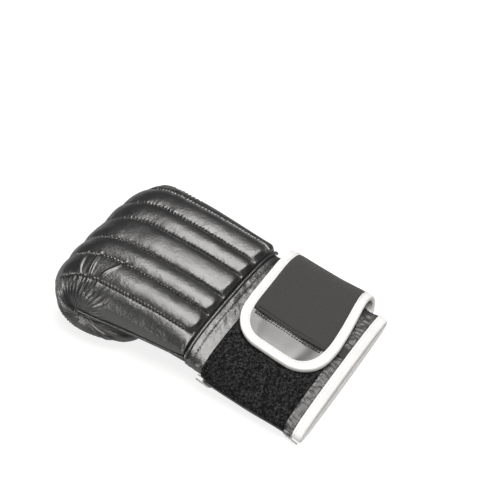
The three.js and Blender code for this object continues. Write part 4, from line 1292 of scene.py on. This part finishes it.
class Shader:
    """A material under construction."""

    def __init__(self, name):
        self.material = bpy.data.materials.new(name)
        self.material.use_nodes = True
        self.tree = self.material.node_tree
        self.tree.nodes.clear()

    def node(self, kind, settings=None, inputs=None, output=0):
        """Adds a node: its settings first, then the values or links of its sockets. Gives one output."""
        made = self.tree.nodes.new("ShaderNode" + kind)
        for key, value in (settings or {}).items():
            setattr(made, key, value)
        for key, value in (inputs or {}).items():
            if isinstance(value, Value):
                self.tree.links.new(value.socket, made.inputs[key])
            else:
                made.inputs[key].default_value = value
        return Value(self, made.outputs[output])

    def place(self, kind="Object"):
        """Where a point lies: on the object, or on the cloth if kind is UV."""
        return self.node("TexCoord", output=kind)

    def noise(self, size, detail=2.0):
        """Noise whose lumps are size millimetres apart, from 0 to 1."""
        return self.node("TexNoise", {}, {"Vector": self.place(), "Scale": 1 / (size * MM), "Detail": detail})

    def cells(self, size):
        """Distance to the middle of the nearest of cells that are size millimetres across."""
        return self.node("TexVoronoi", {"feature": "F1"}, {"Vector": self.place(), "Scale": 1 / (size * MM)})

    def tint(self, colour, amount):
        """A colour made darker or lighter by an amount from 0 to 1, which is 0.5 where it stays."""
        dark = (*(c * 0.6 for c in colour), 1)
        light = (*(min(1, c * 1.45) for c in colour), 1)
        return self.node("Mix", {"data_type": "RGBA"}, {0: amount, 6: dark, 7: light}, output=2)

    def bump(self, height, distance):
        """A normal from a height whose full reach is distance millimetres."""
        return self.node("Bump", {}, {"Height": height, "Distance": distance * MM, "Strength": 1.0})

    def finish(self, colour, roughness, normal=None, **fixed):
        """Ends the material in one Principled shader."""
        inputs = {"Base Color": colour if isinstance(colour, Value) else (*colour, 1), "Roughness": roughness}
        if normal is not None:
            inputs["Normal"] = normal
        inputs.update({name.replace("_", " "): value for name, value in fixed.items()})
        surface = self.node("BsdfPrincipled", {}, inputs, output="BSDF")
        out = self.tree.nodes.new("ShaderNodeOutputMaterial")
        self.tree.links.new(surface.socket, out.inputs["Surface"])
        return self.material


def leather_finish(name, colour, grain, creases, shine, quilted=False, dull_end=False):
    """Black leather: pebbled grain of cells and finer noise, soft creases, and gloss that varies in
    patches. On the quilted pad small puckers stand between the stitches: a cosine along the seam times a
    bell curve across it. With a dull end its roughness rises in a straight line over 3 mm beyond a place
    along the cuff."""
    m = Shader(name)
    pebbles = m.cells(2.1)
    fine = m.noise(1.2, detail=4)
    folds = m.noise(6, detail=5)
    patches = m.noise(24, detail=2)
    height = pebbles * 0.45 * grain + fine * 0.75 * grain + folds * creases
    if quilted:
        seam = m.node("Attribute", {"attribute_name": "seam"}, output="Fac")
        run = m.node("Attribute", {"attribute_name": "run"}, output="Fac")
        phase = run * (2 * np.pi / STITCH_PITCH) + (folds - 0.5) * 5
        beads = m.node("Math", {"operation": "COSINE"}, {0: phase})
        bell = m.node("Math", {"operation": "EXPONENT"}, {0: seam * seam * -0.16})
        height = height + beads * bell * 0.8
    normal = m.bump(height, 0.26)
    roughness = shine + (patches - 0.5) * 0.14 + (fine - 0.5) * 0.2
    if dull_end:
        along = m.node("SeparateXYZ", {}, {"Vector": m.place()}, output="Y")
        beyond = DULL_FROM * MM + float(ORIGIN[1]) - along
        worn = m.node("Math", {"operation": "MULTIPLY", "use_clamp": True}, {0: beyond, 1: 1 / (3 * MM)})
        roughness = roughness + worn * 0.18
    return m.finish(m.tint(colour, patches), roughness, normal, IOR=1.6, Specular_IOR_Level=0.95)


def finishes(context):
    """The materials, made once and then found by name."""
    colours = context.scene.glove_colours
    made = bpy.data.materials
    if "glove leather" not in made:
        leather_finish("glove leather", colours.leather, grain=0.75, creases=1.2, shine=0.37, quilted=True)
        leather_finish("cuff leather", colours.leather, grain=0.9, creases=2.6, shine=0.38, dull_end=True)
        leather_finish("palm leather", colours.leather, grain=1.2, creases=3.6, shine=0.4)
        vinyl_finish(colours.vinyl)
        web_finish(colours.web)
        binding_finish(colours.binding)
        # Painted shade on the ground under the loops, painted light on the loops: one pile colour, darker and
        # lighter.
        pile_finish("loop pile ground", tuple(c * 0.6 for c in colours.pile), 0.95)
        pile_finish("loop pile loops", tuple(c * 2.8 for c in colours.pile), 0.6)
        thread_finish("black thread", colours.thread)
        thread_finish("pale thread", tuple(c * 0.62 for c in colours.binding))
        nickel_finish()
    return SimpleNamespace(
        leather=made["glove leather"], cuff=made["cuff leather"], palm=made["palm leather"],
        vinyl=made["strap vinyl"], web=made["elastic web"], binding=made["edge binding"],
        pile=made["loop pile ground"],
        pile_loops=made["loop pile loops"], thread=made["black thread"], pale_thread=made["pale thread"],
        nickel=made["nickel"],
    )


def vinyl_finish(colour):
    """Grey satin vinyl with a fine even grain."""
    m = Shader("strap vinyl")
    fine = m.cells(0.7)
    patches = m.noise(18)
    normal = m.bump(fine * 0.5 + m.noise(0.3) * 0.3, 0.07)
    roughness = 0.36 + (patches - 0.5) * 0.1
    gloss = {"Specular_IOR_Level": 0.8, "Coat_Weight": 0.6, "Coat_Roughness": 0.3}
    return m.finish(m.tint(colour, patches), roughness, normal, **gloss)


def web_finish(colour):
    """Woven elastic: a weft that crosses the ribs and painted shade that darkens the valleys between the
    ribs, both sines of the place on the cloth, with fuzz between the yarns."""
    m = Shader("elastic web")
    cloth = {"Vector": m.place("UV")}
    along, across = (m.node("SeparateXYZ", {}, cloth, output=axis) for axis in ("X", "Y"))
    weft = m.node("Math", {"operation": "SINE"}, {0: along * (2 * np.pi / (0.8 * MM))})
    # Painted shade: a cosine across the ribs darkens the colour in the valleys between them.
    painted_valley_shade = m.node("Math", {"operation": "COSINE"}, {0: across * (2 * np.pi / (WEB_RIB * MM))})
    fuzz = m.noise(0.5, detail=3)
    normal = m.bump(weft * 0.5 + fuzz * 0.5, 0.12)
    shade = 0.42 + weft * 0.12 + painted_valley_shade * -0.3 + (fuzz - 0.5) * 0.5
    return m.finish(m.tint(colour, shade), 0.78, normal, Sheen_Weight=0.15)


def binding_finish(colour):
    """Off-white folded tape: a fine plain weave with a soft sheen."""
    m = Shader("edge binding")
    weave = m.cells(0.55)
    patches = m.noise(9)
    normal = m.bump(weave * 0.5 + m.noise(0.4) * 0.4, 0.07)
    amount = 0.42 + (patches - 0.5) * 0.16
    return m.finish(m.tint(tuple(c * 0.98 for c in colour), amount), 0.5, normal)


def pile_finish(name, colour, roughness):
    """Matt pile: nearly black, with lighter tufts where noise at the size of a few loops is high."""
    m = Shader(name)
    speckle = m.noise(2.2, detail=3)
    amount = m.node("Math", {"operation": "MULTIPLY", "use_clamp": True}, {0: speckle - 0.42, 1: 4.0})
    dark, light = ((*(c * times for c in colour), 1) for times in (0.35, 3.2))
    shade = m.node("Mix", {"data_type": "RGBA"}, {0: amount, 6: dark, 7: light}, output=2)
    return m.finish(shade, roughness, m.bump(speckle, 0.5), Specular_IOR_Level=0.12)


def thread_finish(name, colour):
    """Twisted sewing thread."""
    m = Shader(name)
    twist = m.noise(0.35)
    return m.finish(m.tint(colour, twist), 0.5, m.bump(twist, 0.08))


def nickel_finish():
    """Satin nickel with fine scratches."""
    m = Shader("nickel")
    scratches = m.noise(0.3, detail=4)
    return m.finish((0.62, 0.61, 0.6), 0.24 + (scratches - 0.5) * 0.2, m.bump(scratches, 0.02), Metallic=1.0)


class GLOVE_OT_stage(Operator):
    """Make the pale floor, the soft studio light and the camera"""

    bl_idname = "glove.stage"
    bl_label = "Stage"

    def execute(self, context):
        colours = context.scene.glove_colours
        mesh = bpy.data.meshes.new("floor")
        signs = ((-1, -1), (1, -1), (1, 1), (-1, 1))
        corners = [(x * FLOOR_HALF, y * FLOOR_HALF, -FLOOR_DROP) for x, y in signs]
        mesh.from_pydata(corners, [], [(0, 1, 2, 3)])
        floor = bpy.data.objects.new("floor", mesh)
        context.scene.collection.objects.link(floor)
        paper = Shader("floor paper")
        seen = paper.node("LightPath", output="Is Camera Ray")
        glow = seen * 0.62 + 0.38
        pale = {"Specular_IOR_Level": 0.0, "Emission_Color": glow, "Emission_Strength": 0.79}
        paper.finish(colours.floor, 0.9, None, **pale)
        mesh.materials.append(paper.material)
        for details in LAMPS:
            lamp(context, *details)
        world_light(context)
        data = bpy.data.cameras.new("photo camera")
        data.sensor_width = 36
        data.lens = FOCAL_PIXELS / FRAME_PIXELS * data.sensor_width
        data.clip_start, data.clip_end = 0.05, 20
        camera = bpy.data.objects.new("photo camera", data)
        context.scene.collection.objects.link(camera)
        azimuth, elevation = np.radians([CAMERA_AZIMUTH, CAMERA_ELEVATION])
        level = np.cos(elevation)
        back = Vector((np.sin(azimuth) * level, -np.cos(azimuth) * level, np.sin(elevation)))
        camera.location = Vector(CAMERA_PLACE) * MM
        camera.rotation_mode = "QUATERNION"
        camera.rotation_quaternion = (-back).to_track_quat("-Z", "Y")
        context.scene.camera = camera
        context.scene.view_settings.view_transform = "Standard"
        return {"FINISHED"}


def lamp(context, name, place, width, depth, power):
    """A rectangular soft light that faces the glove."""
    data = bpy.data.lights.new(name, "AREA")
    data.shape = "RECTANGLE"
    data.size, data.size_y, data.energy = width, depth, power
    data.color = LAMP_COLOUR
    light = bpy.data.objects.new(name, data)
    context.scene.collection.objects.link(light)
    light.location = place
    light.rotation_mode = "QUATERNION"
    light.rotation_quaternion = (-Vector(place)).to_track_quat("-Z", "Y")


def world_light(context):
    """White where the camera looks past the floor, and a dim even light for everything else."""
    world = bpy.data.worlds.new("studio")
    world.use_nodes = True
    tree = world.node_tree
    tree.nodes.clear()
    rays = tree.nodes.new("ShaderNodeLightPath")
    seen = tree.nodes.new("ShaderNodeBackground")
    dim = tree.nodes.new("ShaderNodeBackground")
    mix = tree.nodes.new("ShaderNodeMixShader")
    out = tree.nodes.new("ShaderNodeOutputWorld")
    for light, strength in ((dim, 0.09), (seen, 1.0)):
        light.inputs["Color"].default_value = (1, 1, 1, 1)
        light.inputs["Strength"].default_value = strength
    tree.links.new(rays.outputs["Is Camera Ray"], mix.inputs[0])
    tree.links.new(dim.outputs[0], mix.inputs[1])
    tree.links.new(seen.outputs[0], mix.inputs[2])
    tree.links.new(mix.outputs[0], out.inputs["Surface"])
    context.scene.world = world


PIECES = (
    GLOVE_OT_stage, GLOVE_OT_back_pad, GLOVE_OT_palm, GLOVE_OT_thumb, GLOVE_OT_grip_bar, GLOVE_OT_eyelets,
    GLOVE_OT_cuff, GLOVE_OT_cuff_binding, GLOVE_OT_loop_panel, GLOVE_OT_strap, GLOVE_OT_strap_binding,
    GLOVE_OT_elastic, GLOVE_OT_size_tab,
)


class GLOVE_PT_panel(Panel):
    """The glove's steps, sizes and colours"""

    bl_idname = "GLOVE_PT_panel"
    bl_label = "Bag glove"
    bl_space_type = "VIEW_3D"
    bl_region_type = "UI"
    bl_category = "Glove"

    def draw(self, context):
        """Lists a button for every piece, then the sizes and the colours."""
        for piece in PIECES:
            self.layout.operator(piece.bl_idname)
        for group in (context.scene.glove_sizes, context.scene.glove_colours):
            for name in type(group).__annotations__:
                self.layout.prop(group, name)


CLASSES = (GloveSizes, GloveColours, *PIECES, GLOVE_PT_panel)


def register():
    """Makes the classes and their settings known to Blender."""
    for kind in CLASSES:
        bpy.utils.register_class(kind)
    bpy.types.Scene.glove_sizes = PointerProperty(type=GloveSizes)
    bpy.types.Scene.glove_colours = PointerProperty(type=GloveColours)


def unregister():
    """Takes the classes and their settings back."""
    del bpy.types.Scene.glove_colours
    del bpy.types.Scene.glove_sizes
    for kind in reversed(CLASSES):
        bpy.utils.unregister_class(kind)


def main():
    """Registers the add-on and builds every piece."""
    register()
    for piece in PIECES:
        group, step = piece.bl_idname.split(".")
        getattr(getattr(bpy.ops, group), step)()


if __name__ == "__main__":
    main()
